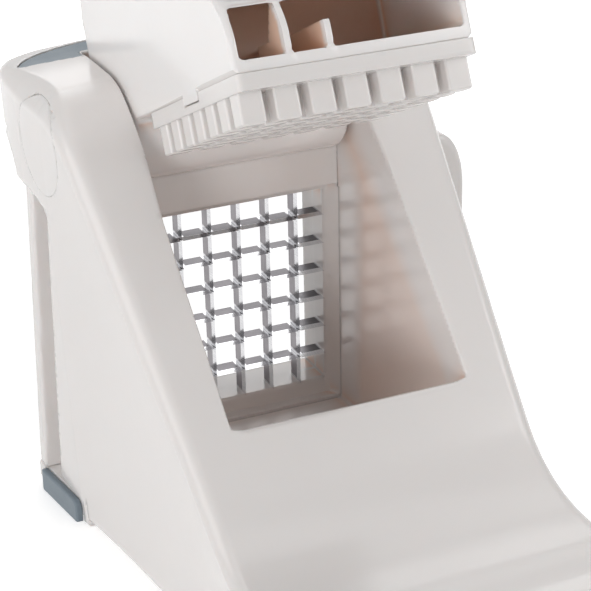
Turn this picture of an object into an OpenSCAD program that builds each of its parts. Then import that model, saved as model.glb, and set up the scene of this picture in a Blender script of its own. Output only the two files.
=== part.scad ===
// French fry cutter: a tower with a lever that presses a vegetable through a
// grid of crossed blades. Millimetres, +Z up, +Y to the back.
// Modules are drawn round the middle of the blade grid and then put in place.

/* [Opening and blades] */
// Number of cells along each side of the blade grid
cells = 7; // [5:1:8]
// Side of the square opening
opening = 68; // [58:1:70]
// How much narrower the outermost cells are than the others
edge_loss = 1; // [0:0.5:2]
// Thickness of one blade
blade_t = 0.8; // [0.5:0.1:1.2]
// Depth of a blade, front edge to back edge
blade_d = 7; // [5:0.5:9]
// Depth of the ground bevel at a blade's front edge
bevel_d = 2.2; // [1:0.2:3]

/* [Tower] */
// Height of the grid's middle above the table
grid_z = 65; // [62:1:72]
// Distance of the grid behind the middle of the base
grid_y = 66; // [55:1:75]
// How far the chamber's walls stand beside the opening
chamber_side = 3; // [2:0.5:6]
// Height of the head's flat top above the pivot
head_rise = 18.8; // [17.2:0.2:22]
// Half the width of the head
head_half_w = 58.2; // [56:0.2:62]
// Angle of the front slope, from the horizontal
slope = 43.7; // [42:0.1:45]
// Outer wall thickness
wall = 2.8; // [2:0.2:3.6]
// Inner wall and floor thickness
liner = 2.5; // [2:0.25:3.5]
// Length of the rear overhang of the head
head_back = 40; // [36:1:44]

/* [Pivot] */
// Pivot height above the opening
pivot_rise = 32.2; // [31:0.2:34]
// Pivot position along Y from the grid's middle
pivot_y = -8.3; // [-10:0.1:-7]
// Radius of the steel axle
axle_r = 5; // [4:0.25:6]
// Running clearance between axle and bushes
run_gap = 0.05; // [0.02:0.01:0.1]
// Outer radius of the lever's hub barrel
hub_r = 15; // [13:0.5:15.5]
// Radius of the round pivot covers
cap_r = 17; // [14:0.5:19]

/* [Lever] */
// Tilt of the pusher above the horizontal when the lever is open
open_tilt = 25.3; // [20:0.1:28]
// Gap between the lever's box and the chamber's walls
lever_gap = 2.5; // [1.5:0.25:4]
// Wall thickness of the lever's box
lever_wall = 2.6; // [2:0.2:3.4]
// Height of the lever's box above the pusher
lever_h = 50; // [44:1:56]
// Length of the handle
handle_l = 112; // [95:1:125]
// Width of the handle
handle_w = 36; // [30:1:42]
// Thickness of the handle
handle_t = 23; // [20:1:26]
// Lean of the handle towards the pusher's tip
handle_lean = 10; // [6:1:12]

/* [Pusher] */
// Clearance between a peg and the blades beside it
peg_gap = 1.1; // [0.8:0.1:2]
// Length of the pegs
peg_l = 8.6; // [7:0.1:9]
// Thickness of the pusher's flange
flange_t = 5.4; // [4.5:0.1:5.6]

/* [Blade cassette] */
// Height of the cassette's frame above and below the opening
cassette_rim = 6; // [5:0.5:7]
// Depth of the part that holds the blades
holder_d = 8; // [7.5:0.5:9.5]
// Depth of the outlet tunnel behind the blades
tunnel_d = 8.4; // [7:0.2:9]
// How far the pull grip stands out to the side
grip_out = 88; // [80:1:92]

/* [Base and posts] */
// Thickness of the base plate
plate_t = 3; // [2.4:0.2:4]
// Gap between the walls' lower edge and the table
foot_h = 2; // [1.5:0.5:3]
// Level of the rear ledge below the grid's middle
ledge_z = -57; // [-58:0.5:-55]
// Outer half width of the rear posts
post_x = 59; // [58:0.5:60]
// Width of a rear post
post_w = 8; // [6:0.5:10]
// Depth of a rear post
post_d = 6; // [5:0.5:7]

/* [Hidden] */
$fn = 64;
big = 400;
eps = 0.01;
fit = 0.1;               // clearance between pieces that are seated together
slide_gap = 0.4;         // clearance round the sliding cassette
white = "#ebe7e4";
slate = "#76828c";
steel = "#b9bcc0";

// Derived places
blade_pitch = (opening + 2 * edge_loss) / cells;
peg_side = blade_pitch - blade_t - 2 * peg_gap;
chamber_w = opening + 2 * chamber_side;
chamber_x = chamber_w / 2;
lever_w = chamber_w - 2 * lever_gap;
cassette_h = opening + 2 * cassette_rim;
pivot_z = opening / 2 + pivot_rise;
head_z = pivot_z + head_rise;
throat_y = -8;                         // rear end of the chamber
body_back = throat_y - 1;              // rear edge of the side walls
seam_y = -blade_d / 2 - 0.2;           // front face of the cassette
gap_back = 18;                         // front face of the rear posts
slot_back = 23;                        // rear end of the lever's slot in the head
under_z = cassette_h / 2 + 7;          // underside of the head over the side gap
gusset = 11;                           // height and depth of the slope below the head
bottom_z = foot_h - grid_z;            // lower edge of the walls
ground_z = -grid_z;
cell_ends = [for (i = [1:cells - 1]) (i - cells / 2) * blade_pitch];
tip_s = pivot_z + opening / 2 + 3.1;   // distance from the pivot to the pusher's tip
plane_n = 2.6;                         // plane between lever and pusher
flange_root = pivot_z - opening / 2 - 3; // ends of the pusher's flange, from the pivot
flange_tip = tip_s + 0.7;
function sweep_r() = norm([pivot_z + opening / 2 + 3.8, 3]);
floor_r = sweep_r() + 1.6;

module at_grid() translate([0, grid_y, grid_z]) children();
module at_pivot() at_grid() translate([0, pivot_y, pivot_z]) children();
// Lever pieces: local -Y runs from the pivot to the pusher's tip, +Z away from the pegs
module at_lever() at_pivot() rotate([-open_tilt, 0, 0]) children();
module along_x(x0, x1, r) translate([x0, 0, 0]) rotate([0, 90, 0]) cylinder(h = x1 - x0, r = r);
module both_sides() {
    children();
    mirror([1, 0, 0]) children();
}
module rounded_plate(w, h, t, r) linear_extrude(t) offset_square(w, h, r);
module offset_square(w, h, r) {
    square([w - 2 * r, h], center = true);
    square([w, h - 2 * r], center = true);
    for (x = [-1, 1], y = [-1, 1]) translate([x * (w / 2 - r), y * (h / 2 - r)]) circle(r);
}
// Profile in the YZ plane, extruded across X
module across(w) rotate([90, 0, 90]) translate([0, 0, -w / 2]) linear_extrude(w) children();

// ---- Outer form of the tower ----

// A walk of arcs and straights: heading is the fall below the horizontal, forward is -Y
function walk(p, h, legs, i = 0) = i == len(legs) ? [] :
    let (leg = legs[i], turn = leg[1], steps = leg[2],
        stops = [for (k = [1:steps]) turn == 0 ?
            [p[0] - leg[0] * k / steps * cos(h), p[1] - leg[0] * k / steps * sin(h), h] :
            let (a = h + turn * k / steps, r = turn > 0 ? leg[0] : -leg[0])
            [p[0] - r * (sin(a) - sin(h)), p[1] + r * (cos(a) - cos(h)), a]])
    concat(stops, walk(stops[steps - 1], stops[steps - 1][2], legs, i + 1));

brow_y = -4;             // front end of the head's flat top
brow_r = 22;             // first bend into the slope
chest_r = 170;           // slow bend of the upper slope
slope_l = 100.5;         // straight stretch of the slope
apron_r = 57;            // hollow bend of the apron
apron_fall = 5.7;        // fall of the apron's end
apron_l = 5;             // flat end of the apron
nose_r = 20;             // rounded nose
front_path = walk([brow_y, head_z, 0], 0, [
    [brow_r, 35, 5],
    [chest_r, slope - 35, 2],
    [slope_l, 0, 4],
    [apron_r, apron_fall - slope, 6],
    [apron_l, 0, 1],
    [nose_r, 85 - apron_fall, 8]]);

// Front outline moved inwards by inset, cut off above a level
function front_outline(inset, top) = [for (p = concat([[brow_y + 0.5, head_z, 0]], front_path))
    let (q = [p[0] + inset * sin(p[2]), p[1] - inset * cos(p[2])]) if (q[1] <= top) q];
nose_y = front_path[len(front_path) - 1][0];

// Half width at the grid's level: tapers to the front, then flares along the apron
taper = 0.053;
lean_rate = 0.0365;      // half width gained per millimetre of height
function flare(y) = y < -100 ? 0.0026 * pow(-100 - y, 2) : 0;
function half_w(y) = head_half_w + taper * min(y, 12) + flare(y);
side_stops = [nose_y, -160, -150, -140, -130, -120, -110, -100, -50, 10];

// Right half of a plan, leaning out with height. back: end of the rounded rear
module leaning_half(inset, back, exponent) {
    w = half_w(10) - inset;
    rotate([0, atan(lean_rate), 0]) translate([0, 0, -big / 2]) linear_extrude(big)
        polygon(concat([[-5, back]], [[-5, nose_y - 5]],
            [for (y = side_stops) [half_w(y) - inset, y]],
            [for (k = [1:12]) let (t = 7.5 * k)
                [w * pow(max(cos(t), 0), 2 / exponent), 10 + (back - 10) * pow(sin(t), 2 / exponent)]]));
}
module leaning_plan(inset, back, exponent) both_sides() leaning_half(inset, back, exponent);

// The whole outer form of the tower
module tower_form() {
    intersection() {
        across(big) polygon(concat(
            [[nose_y, bottom_z]], [[body_back, bottom_z]],
            [[body_back, under_z - gusset], [throat_y + gusset, under_z], [gap_back + 1, under_z]],
            [for (t = [0:15:90]) [gap_back + 1 + 7 * (1 - cos(t)), under_z + 7 * sin(t)]],
            [[head_back - 6, under_z + 9], [head_back + 2, under_z + 11.5]],
            [[head_back + 3, under_z + 14]],
            [[head_back + 1, head_z - 8]],
            [for (t = [0:22.5:90]) [head_back + 1 - 6 * (1 - cos(t)), head_z - 8 + 8 * sin(t)]],
            front_outline(0, head_z)));
        leaning_plan(0, head_back + 3, 2.6);
        // rounded shoulders of the head
        rotate([90, 0, 0]) linear_extrude(2 * big, center = true) {
            translate([-big / 4, -big / 4]) square([big / 2, big / 4 + head_z - shoulder_r]);
            shoulders();
        }
    }
}
shoulder_r = 9;
module shoulders() {
    w = half_w(10) + lean_rate * head_z;
    translate([-w + shoulder_r, 0]) square([2 * (w - shoulder_r), head_z]);
    for (x = [-1, 1]) translate([x * (w - shoulder_r), head_z - shoulder_r]) circle(shoulder_r);
}

// Space swept by the lever: a drum about the pivot, and the slot in the head
module swept_space(grow) {
    w = chamber_w + 2 * grow;
    intersection() {
        translate([0, pivot_y, pivot_z]) along_x(-w / 2, w / 2, floor_r + grow);
        translate([-big / 2, -big + throat_y, -big / 2]) cube([big, big, big]);
    }
    translate([-w / 2, pivot_y - 30, under_z - 9])
        cube([w, slot_back + grow - pivot_y + 30, head_z]);
}

roof = 4;                // thickness of the head's top

// Hollow of the moulding: follows the front and leans with the side walls
module hollow() {
    intersection() {
        across(big) polygon(concat([[nose_y + wall, bottom_z - 5], [throat_y + 4, bottom_z - 5]],
            [[throat_y + 4, under_z + 15]], front_outline(wall, under_z + 15)));
        leaning_plan(wall, head_back, 2.6);
    }
    intersection() {
        across(big) polygon([[throat_y - 8, under_z + 3.6], [gap_back - 1, under_z + 3.6],
            [gap_back, under_z + 9], [gap_back + 4, under_z + 14], [head_back - 1, under_z + 15],
            [head_back - 2, head_z - 8], [head_back - 6, head_z - roof],
            [brow_y - 4, head_z - roof], [throat_y - 8, head_z - roof - 2]]);
        leaning_plan(wall, head_back, 2.6);
        cube([2 * (half_w(10) - 2), big, 2 * (head_z - roof)], center = true);
    }
}

screw_r = 1.5;
boss_r = screw_r + 2.5;
boss_x = chamber_x + liner + boss_r - 1;   // the rear bosses grow out of the inner wall
screw_l = 12;            // length of a base screw's shank
screw_head_r = 2.9;
front_boss = [boss_x - 3, nose_y * 0.71];
screw_spots = [for (side = [-1, 1], at = [[boss_x, throat_y - 10], front_boss]) [side * at[0], at[1]]];

module body_shell() {
    color(white) at_grid() difference() {
        tower_form();
        difference() {
            hollow();
            swept_space(liner);
            both_sides() translate([0, pivot_y, pivot_z]) {
                along_x(chamber_x, big / 2, bush_r + liner);
                along_x(cap_seat - liner, big / 2, cap_r + 2);
            }
            for (p = screw_spots) translate([p[0], p[1], bottom_z + plate_t])
                cylinder(h = 60, r = boss_r);
        }
        swept_space(0);
        both_sides() translate([0, pivot_y, pivot_z]) {
            along_x(chamber_x - 1, chamber_x + bush_l, bush_r + fit / 2);
            along_x(cap_seat, big / 2, cap_r + fit);
            along_x(chamber_x + bush_l - 1, cap_seat + 1, axle_r + 1);
        }
        for (p = screw_spots) translate([p[0], p[1], bottom_z - 1])
            cylinder(h = screw_l + 4, r = screw_r);
        both_sides() translate([post_x - post_w - fit, gap_back - fit, under_z - 5])
            cube([post_w + 2 * fit, post_d + 2 * fit, post_top - under_z + 5 + fit]);
        pad_space(fit);
        // the base plate fits between the walls
        translate([-big / 2, body_back, bottom_z - 1]) cube([big, 10, plate_t + 1 + fit]);
    }
}

// ---- Frame round the opening, at the rear end of the chamber ----

throat_w = 104;          // width of the frame round the opening
throat_top = pivot_z - hub_r - 1;
throat_back = seam_y - fit;
// The pusher's flange comes to rest in a pocket in front of the opening; the pocket's sides
// and the lead-in to the blades are one bevel
pocket_back = body_back + 3.8;
pocket_x = opening / 2 + chamber_side * (throat_back - pocket_back) / (throat_back - body_back);
pocket_low = pivot_z - flange_tip - 0.7;
pocket_high = pivot_z - flange_root + 0.6;
module throat_frame() {
    color(white) at_grid() difference() {
        union() {
            translate([-throat_w / 2, body_back, ledge_z + fit])
                cube([throat_w, throat_back - body_back, under_z - gusset - ledge_z - fit]);
            // top rail between the side walls
            translate([-chamber_x + fit, body_back, 0])
                cube([chamber_w - 2 * fit, throat_back - body_back, throat_top]);
        }
        funnel(frame_corners(body_back - eps, chamber_x, pocket_low, pocket_high),
            frame_corners(pocket_back, pocket_x, pocket_low, pocket_high));
        funnel(frame_corners(pocket_back - eps, pocket_x, pocket_low, pocket_high),
            frame_corners(throat_back + eps, opening / 2, -opening / 2, opening / 2));
    }
}
function frame_corners(y, x, low, high) = [[-x, y, low], [x, y, low], [x, y, high], [-x, y, high]];
// Solid between two upright rectangles, the second behind the first
module funnel(front, back) polyhedron(
    points = concat(front, back),
    faces = concat([[3, 2, 1, 0], [4, 5, 6, 7]],
        [for (i = [0:3]) let (k = (i + 1) % 4) [k, k + 4, i + 4, i]]));

// ---- Rear posts, base and feet ----

post_top = under_z + 8;
module rear_frame() {
    inner = post_x - post_w;
    color(white) at_grid() {
        both_sides() translate([0, 0, ledge_z])
            linear_extrude(post_top - ledge_z) {
                translate([inner, gap_back]) square([post_w - 2, post_d]);
                translate([inner, gap_back]) square([post_w, post_d - 2]);
                translate([post_x - 2, gap_back + post_d - 2]) circle(2);
            }
        // sill between the posts, under the fry outlet
        translate([-inner - eps, gap_back, ledge_z]) cube([2 * inner + 2 * eps, post_d, 6]);
        translate([-inner - eps, gap_back + post_d - 2, ledge_z]) cube([2 * inner + 2 * eps, 2, 11]);
    }
}

ledge_back = gap_back + post_d + 1;
ledge_x = post_x + 0.2;
plate_y = concat([nose_y + wall + 0.5], [for (y = side_stops) if (y > nose_y && y < 0) y], [throat_y + 2]);
function plate_half(y) = half_w(y) + lean_rate * bottom_z - wall - 2 * fit;
module base_plate() {
    color(white) at_grid() difference() {
        union() {
            translate([0, 0, ground_z]) linear_extrude(foot_h + plate_t) both_sides()
                polygon(concat([[-1, plate_y[0]]], [for (y = plate_y) [plate_half(y), y]],
                    [[-1, throat_y + 2]]));
            // rear ledge, full height
            translate([-ledge_x, body_back + fit, bottom_z])
                cube([2 * ledge_x, ledge_back - body_back - fit, ledge_z - bottom_z]);
        }
        // hollow under the ledge
        translate([4 - ledge_x, throat_y + 4, bottom_z - 1])
            cube([2 * ledge_x - 8, ledge_back - throat_y - 7, ledge_z - bottom_z - 1.5]);
        for (p = screw_spots) translate([p[0], p[1], ground_z - 1]) {
            cylinder(h = foot_h + plate_t + 2, r = screw_r + 0.3);
            cylinder(h = foot_h + 2.2, r = screw_head_r + 0.3);
        }
        foot_space(fit);
    }
}

module base_screws() {
    color(steel) at_grid() for (p = screw_spots) translate([p[0], p[1], bottom_z + 0.2]) {
        cylinder(h = 1, r = screw_head_r);
        cylinder(h = screw_l, r = screw_r - 0.05);
    }
}

// Shelf and guides that the cassette slides in
module slide_rails() {
    y0 = throat_back;
    d = gap_back - fit - y0;
    guide_y = throat_y + gusset + 0.5;
    z1 = -cassette_h / 2 - slide_gap;
    color(white) at_grid() {
        translate([-rail_x, y0, z1 - shelf_t]) cube([2 * rail_x, d, shelf_t]);
        both_sides() {
            for (x = [20, rail_x - rail_t]) translate([x, y0, ledge_z + eps])
                cube([rail_t, d, z1 - shelf_t + fit - ledge_z]);
            translate([rail_x - guide_w, guide_y, -z1])
                cube([guide_w, gap_back - fit - guide_y, under_z - fit + z1]);
        }
    }
}
rail_x = 50;             // outer half width of the rails
rail_t = 3;              // thickness of the legs under the shelf
shelf_t = 4;
guide_w = 12;            // width of the guides above the cassette
foot_l = 26;
foot_t = 7;
foot_x = 59;
module foot_space(gap) {
    both_sides() translate([foot_x - 6 - gap, throat_y + 0.6 - gap, ground_z - 1])
        cube([10, foot_l + 2 * gap, foot_t + 1 + gap]);
    both_sides() translate([front_foot[0], front_foot[1], ground_z - 1])
        cylinder(h = 1 + disc_t + gap, r = disc_r + gap);
}
front_foot = [34, -135];
disc_r = 9;
disc_t = 3.2;            // thickness of a front foot, let into the base plate
module rear_foot() {
    color(slate) at_grid() intersection() {
        translate([foot_x - 6, 0, 0]) rotate([90, 0, 90]) linear_extrude(8) {
            translate([throat_y + 0.6, ground_z]) {
                square([foot_l, foot_t - 2]);
                translate([2, 0]) square([foot_l - 2, foot_t]);
                translate([2, foot_t - 2]) circle(2);
            }
        }
        translate([0, 0, ground_z - 1]) linear_extrude(foot_t + 2) {
            translate([foot_x - 6, throat_y]) square([8, foot_l - 2.4]);
            translate([foot_x - 6, throat_y]) square([5, foot_l + 2]);
            translate([foot_x - 1, throat_y + foot_l - 2.4]) circle(3);
        }
    }
}
module left_rear_foot() mirror([1, 0, 0]) rear_foot();
module right_rear_foot() rear_foot();

module front_feet() {
    color(slate) at_grid() both_sides() translate([front_foot[0], front_foot[1], ground_z])
        cylinder(h = disc_t, r = disc_r);
}

// ---- Slate pad let into the top of the head ----

pad_front = 18;
pad_t = 3;
module pad_outline(gap) {
    w = head_half_w - 2;
    yb = head_back - 6;
    intersection() {
        translate([0, 10]) scale_oval(w + gap, yb - 10 + gap);
        difference() {
            translate([-big / 2, pad_front - gap]) square([big, big / 2]);
            // the pad's front edge steps back behind the lever's slot
            translate([-chamber_x - 2 + gap, pad_front - 1])
                square([chamber_w + 4 - 2 * gap, slot_back + 3 - pad_front - gap]);
        }
    }
}
module scale_oval(a, b) polygon([for (k = [0:47]) [a * cos(k * 7.5), b * sin(k * 7.5)]]);
module pad_space(gap) translate([0, 0, head_z - pad_t]) linear_extrude(10) pad_outline(gap);
module head_pad() {
    color(slate) at_grid() translate([0, 0, head_z - pad_t]) linear_extrude(pad_t + 0.3) pad_outline(0);
}

// ---- Pivot pieces ----

bush_r = 8;
bush_l = 13;
cap_seat = 57;
washer_t = 1.4;
hub_half = chamber_x - washer_t - 1;
module bush() {
    color(slate) at_pivot() difference() {
        along_x(chamber_x + 0.2, chamber_x + bush_l - 0.2, bush_r);
        along_x(chamber_x - 1, chamber_x + bush_l + 1, axle_r + run_gap);
    }
}
module left_bush() mirror([1, 0, 0]) bush();
module right_bush() bush();

module washer() {
    color(steel) at_pivot() difference() {
        along_x(chamber_x - washer_t, chamber_x, bush_r + 3);
        along_x(chamber_x - 5, chamber_x + 5, axle_r + run_gap);
    }
}
module left_washer() mirror([1, 0, 0]) washer();
module right_washer() washer();

module cap() {
    crown = 1.4;
    color(white) at_pivot() rotate([0, 90, 0]) rotate_extrude() {
        translate([0, cap_seat + fit]) square([cap_r, cap_face - crown - cap_seat - fit]);
        translate([0, cap_face - crown - eps]) square([cap_r - crown, crown + eps]);
        translate([cap_r - crown, cap_face - crown]) circle(crown);
    }
}
cap_face = 62.4;
module left_cap() mirror([1, 0, 0]) cap();
module right_cap() cap();

// ---- Blade cassette ----

cassette_l = -throat_w / 2; // left end
cassette_r = 61;         // where the grip begins
holder_back = seam_y + holder_d;
pocket = 3;              // how far a blade's end reaches into the holder
blade_half = opening / 2 + pocket;

// Outline of the cassette seen from the front
module holder_profile(right) {
    translate([cassette_l, -cassette_h / 2]) square([right - cassette_l, cassette_h]);
}
// Rounded pull grip, seen from the front
grip_r = 8;
grip_high = 45;
module grip_outline() {
    x0 = cassette_r + fit;
    x1 = grip_out - 2;
    low = -cassette_h / 2;
    translate([x0, low]) square([x1 - grip_r - x0, grip_high - low]);
    translate([x0, low + grip_r]) square([x1 - x0, grip_high - low - 2 * grip_r]);
    for (z = [low + grip_r, grip_high - grip_r]) translate([x1 - grip_r, z]) circle(grip_r);
}
module blade_slots() {
    for (c = cell_ends) {
        translate([c - blade_t / 2 - 0.1, -blade_d / 2 - fit, -blade_half])
            cube([blade_t + 0.2, big, 2 * blade_half]);
        translate([-blade_half, -blade_d / 2 - fit, c - blade_t / 2 - 0.1])
            cube([2 * blade_half, big, blade_t + 0.2]);
    }
}
cassette_spots = [for (x = [-1, 1], z = [-1, 1]) [x * (cassette_l + 5), z * (cassette_h / 2 - 4)]];
module cassette_holder() {
    color(white) at_grid() difference() {
        translate([0, holder_back, 0]) rotate([90, 0, 0]) linear_extrude(holder_d) difference() {
            holder_profile(cassette_r);
            square(opening, center = true);
        }
        blade_slots();
        for (p = cassette_spots) translate([p[0], holder_back + 1, p[1]]) rotate([90, 0, 0])
            cylinder(h = 7, r = 1);
    }
}
module cassette_back() {
    outer = opening + 7;
    color(white) at_grid() {
        difference() {
            union() {
                // flange against the holder
                translate([0, holder_back + fit + 2.6, 0]) rotate([90, 0, 0]) linear_extrude(2.6)
                    holder_profile(cassette_r + 2);
                // outlet tunnel
                translate([0, holder_back + fit + tunnel_d, 0]) rotate([90, 0, 0])
                    linear_extrude(tunnel_d) square(outer, center = true);
                // stiffening ribs
                for (z = [-cassette_h / 2, cassette_h / 2 - 2])
                    translate([cassette_l, holder_back + fit, z])
                        cube([cassette_r - cassette_l, tunnel_d - 1, 2]);
                // pull grip with a finger hollow
                difference() {
                    translate([0, holder_back + fit + tunnel_d - 1, 0]) rotate([90, 0, 0])
                        linear_extrude(holder_d + tunnel_d - 1) grip_outline();
                    translate([cassette_r + 3, seam_y + 3, -opening / 2])
                        cube([grip_out - cassette_r - 8, big, grip_high - 9 + opening / 2]);
                }
            }
            cube([opening, big, opening], center = true);
            for (p = cassette_spots) translate([p[0], holder_back + fit + 3, p[1]]) rotate([90, 0, 0])
                cylinder(h = 4, r = 1.2);
        }
    }
}
module cassette_screws() {
    color(steel) at_grid() for (p = cassette_spots)
        translate([p[0], holder_back + fit + 2.6, p[1]]) rotate([90, 0, 0]) {
            translate([0, 0, -1]) cylinder(h = 1, r = 2);
            translate([0, 0, -eps]) cylinder(h = 6, r = 0.95);
        }
}
// One blade along X: flat strip with a ground bevel on its front edge
module strip() {
    y0 = -blade_d / 2;
    across_blade = 2 * blade_half - 0.4;
    translate([-across_blade / 2, 0, 0]) rotate([90, 0, 90]) linear_extrude(across_blade)
        polygon([[y0, 0], [y0 + bevel_d, blade_t / 2], [y0 + blade_d, blade_t / 2],
            [y0 + blade_d, -blade_t / 2], [y0 + bevel_d, -blade_t / 2]]);
}
lap = 0.05;
module upright_blades() {
    color(steel) at_grid() difference() {
        for (c = cell_ends) translate([c, 0, 0]) rotate([0, 90, 0]) strip();
        // half laps, open to the back
        for (x = cell_ends, z = cell_ends)
            translate([x - blade_t, 0, z - blade_t / 2 - lap])
                cube([2 * blade_t, blade_d, blade_t + 2 * lap]);
    }
}
module level_blades() {
    color(steel) at_grid() difference() {
        for (c = cell_ends) translate([0, 0, c]) strip();
        // half laps, open to the front
        for (x = cell_ends, z = cell_ends)
            translate([x - blade_t / 2 - lap, -blade_d, z - blade_t])
                cube([blade_t + 2 * lap, blade_d + lap, 2 * blade_t]);
    }
}

// ---- Lever, drawn in its own frame: s from the pivot to the tip, n away from the pegs ----

hub_back = 18.6;
module lever_profile(inset) {
    // side outline of the lever's box in [s, n]; the hollow runs out through the open tip
    far_s = tip_s + (inset > 0 ? 5 : 0);
    low = plane_n + inset;
    high = plane_n + lever_h - inset;
    back = -hub_back + inset;
    polygon([[back, low], [far_s, low], [far_s, 15 - inset], [tip_s - 9, 30 - inset], [72, high],
        [back + 8, high], [back, high - 8]]);
}
// Extrude an [s, n] outline across the lever
module lever_across(w) mirror([0, 1, 0]) across(w) children();
module lever_shell() {
    color(white) at_lever() difference() {
        union() {
            difference() {
                lever_across(lever_w) lever_profile(0);
                lever_across(lever_w - 2 * lever_wall) lever_profile(lever_wall);
            }
            along_x(-hub_half, hub_half, hub_r);
            // web between the hub and the box
            translate([-hub_half, 1 - hub_r, 0])
                cube([2 * hub_half, 2 * hub_r - 2, plane_n + lever_wall]);
            // ribs inside the box
            for (x = rib_places) translate([x, 0, 0]) lever_across(rib_t) intersection() {
                lever_profile(lever_wall - eps);
                square([tip_s, 2 * lever_h]);
            }
            lever_across(lever_w - 2) translate([52, plane_n]) square([rib_t, 22]);
        }
        along_x(-hub_half - 1, hub_half + 1, axle_r + fit / 2);
        for (p = pusher_spots) translate([p[0], -p[1], plane_n - 1])
            cylinder(h = lever_wall + 2, r = pusher_screw_r + 0.45);
    }
}
rib_t = 2;               // thickness of the ribs inside the lever
rib_places = [-19, -7];
module pivot_axle() {
    color(steel) at_pivot() along_x(-chamber_x - bush_l, chamber_x + bush_l, axle_r);
}

pusher_spots = [for (x = [-27, 27], s = [42, 90]) [x, s]];
pusher_screw_r = 1.15;
peg_rise = peg_side - 0.6;             // pegs are shorter along the arc they swing through
peg_places = [for (i = [0:cells - 1]) (i - (cells - 1) / 2) * blade_pitch];
module pusher_plate() {
    root_n = plane_n - fit - flange_t;
    color(white) at_lever() difference() {
        union() {
            translate([0, -(flange_root + flange_tip) / 2, root_n])
                rounded_plate(lever_w - 0.4, flange_tip - flange_root, flange_t, 1.5);
            for (x = peg_places, s = peg_places)
                translate([x - peg_side / 2, s - pivot_z - peg_rise / 2, root_n - peg_l])
                    cube([peg_side, peg_rise, peg_l + 1]);
        }
        for (p = pusher_spots) translate([p[0], -p[1], plane_n - 4])
            cylinder(h = 5, r = pusher_screw_r + 0.05);
    }
}
module pusher_screws() {
    color(steel) at_lever() for (p = pusher_spots)
        translate([p[0], -p[1], plane_n + lever_wall]) {
            cylinder(h = 1.4, r = 2.8);
            translate([0, 0, -6]) cylinder(h = 6 + eps, r = pusher_screw_r);
        }
}

// ---- Handle, leaning towards the tip ----

handle_s = 30;           // where the handle leaves the box
module lean() translate([0, -handle_s, plane_n + lever_h]) rotate([handle_lean, 0, 0]) children();
module at_handle() at_lever() lean() children();
module handle_section(inset)
    offset_square(handle_w - 2 * inset, handle_t - 2 * inset, handle_t / 2 - inset - 0.5);
module handle_core() {
    color(white) at_lever() difference() {
        lean() {
            translate([0, 0, -8]) linear_extrude(handle_l + 10) handle_section(grip_t);
            translate([0, 0, -8]) linear_extrude(collar_h + 8) handle_section(0);
        }
        lean() translate([0, 0, 6]) linear_extrude(handle_l) handle_section(2 * grip_t);
        // the collar stands flat on the lever's box
        translate([-big / 2, -big / 2, plane_n + lever_h - big]) cube(big);
    }
}
collar_h = 18;
grip_t = 3;              // thickness of the grip's sleeve inside the handle's outline
grip_proud = 0.6;        // how far the sleeve stands out
module handle_grip() {
    color(slate) at_handle() difference() {
        translate([0, 0, collar_h + fit]) linear_extrude(handle_l + 2 - collar_h - fit)
            handle_section(-grip_proud);
        translate([0, 0, 10]) linear_extrude(handle_l) handle_section(grip_t - fit);
    }
}
module handle_cap() {
    color(slate) at_handle() translate([0, 0, handle_l + 2 + fit]) {
        linear_extrude(5) handle_section(-grip_proud);
        translate([0, 0, -8]) linear_extrude(8 + eps) handle_section(2 * grip_t + fit);
    }
}

body_shell();
throat_frame();
rear_frame();
base_plate();
base_screws();
slide_rails();
front_feet();
left_rear_foot();
right_rear_foot();
head_pad();
left_bush();
right_bush();
left_washer();
right_washer();
left_cap();
right_cap();
cassette_holder();
cassette_back();
upright_blades();
level_blades();
cassette_screws();
lever_shell();
pivot_axle();
pusher_plate();
pusher_screws();
handle_core();
handle_grip();
handle_cap();
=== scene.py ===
import math

import bpy
import numpy as np
from mathutils import Matrix, Vector


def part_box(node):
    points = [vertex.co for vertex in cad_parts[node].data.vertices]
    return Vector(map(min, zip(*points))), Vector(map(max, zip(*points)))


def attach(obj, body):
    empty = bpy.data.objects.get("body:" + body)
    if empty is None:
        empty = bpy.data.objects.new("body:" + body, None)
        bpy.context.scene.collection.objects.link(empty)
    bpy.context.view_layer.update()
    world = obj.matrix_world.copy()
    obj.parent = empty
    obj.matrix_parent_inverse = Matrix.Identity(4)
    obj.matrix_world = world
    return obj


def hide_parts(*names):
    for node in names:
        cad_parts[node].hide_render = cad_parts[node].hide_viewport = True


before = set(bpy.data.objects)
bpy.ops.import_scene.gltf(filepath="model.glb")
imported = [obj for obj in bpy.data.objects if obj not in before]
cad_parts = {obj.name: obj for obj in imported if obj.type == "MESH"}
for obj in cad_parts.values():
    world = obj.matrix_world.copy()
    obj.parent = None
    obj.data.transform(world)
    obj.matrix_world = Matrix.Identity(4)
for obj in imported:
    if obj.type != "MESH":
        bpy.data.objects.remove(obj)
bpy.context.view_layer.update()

# Pieces are drawn in millimetres round the middle of the blade grid, +Y to the back.
gridPlace = (0.0, 66.0, 65.0)      # the grid's middle on the table
pivot = (-8.3, 66.2)               # lever axle, (y, z) from the grid's middle
leverTilt = math.radians(25.3)     # how far the open lever is raised


# A solid is a function of x, y, z: negative inside, its distance to the skin outside

def both(a, b, r=0.0):             # common part of two solids, the edge rounded by r
    if np.isscalar(r) and r == 0:
        return np.maximum(a, b)
    return np.minimum(-r, np.maximum(a, b)) + np.hypot(np.maximum(a + r, 0), np.maximum(b + r, 0))


def join(a, b, r=0.0):             # two solids together, the corner filled by r
    return -both(-a, -b, r)


def cut(a, b, r=0.0):              # a without b
    return both(a, -b, r)


def block(x, y, z, low, high, r=0.0):
    q = [np.abs(v - (l + h) / 2) - (h - l) / 2 + r for v, l, h in zip((x, y, z), low, high)]
    far = sum(np.maximum(v, 0) ** 2 for v in q) ** 0.5
    return far + np.minimum(np.maximum(np.maximum(q[0], q[1]), q[2]), 0) - r


def slab(v, low, high):
    return np.abs(v - (low + high) / 2) - (high - low) / 2


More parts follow.
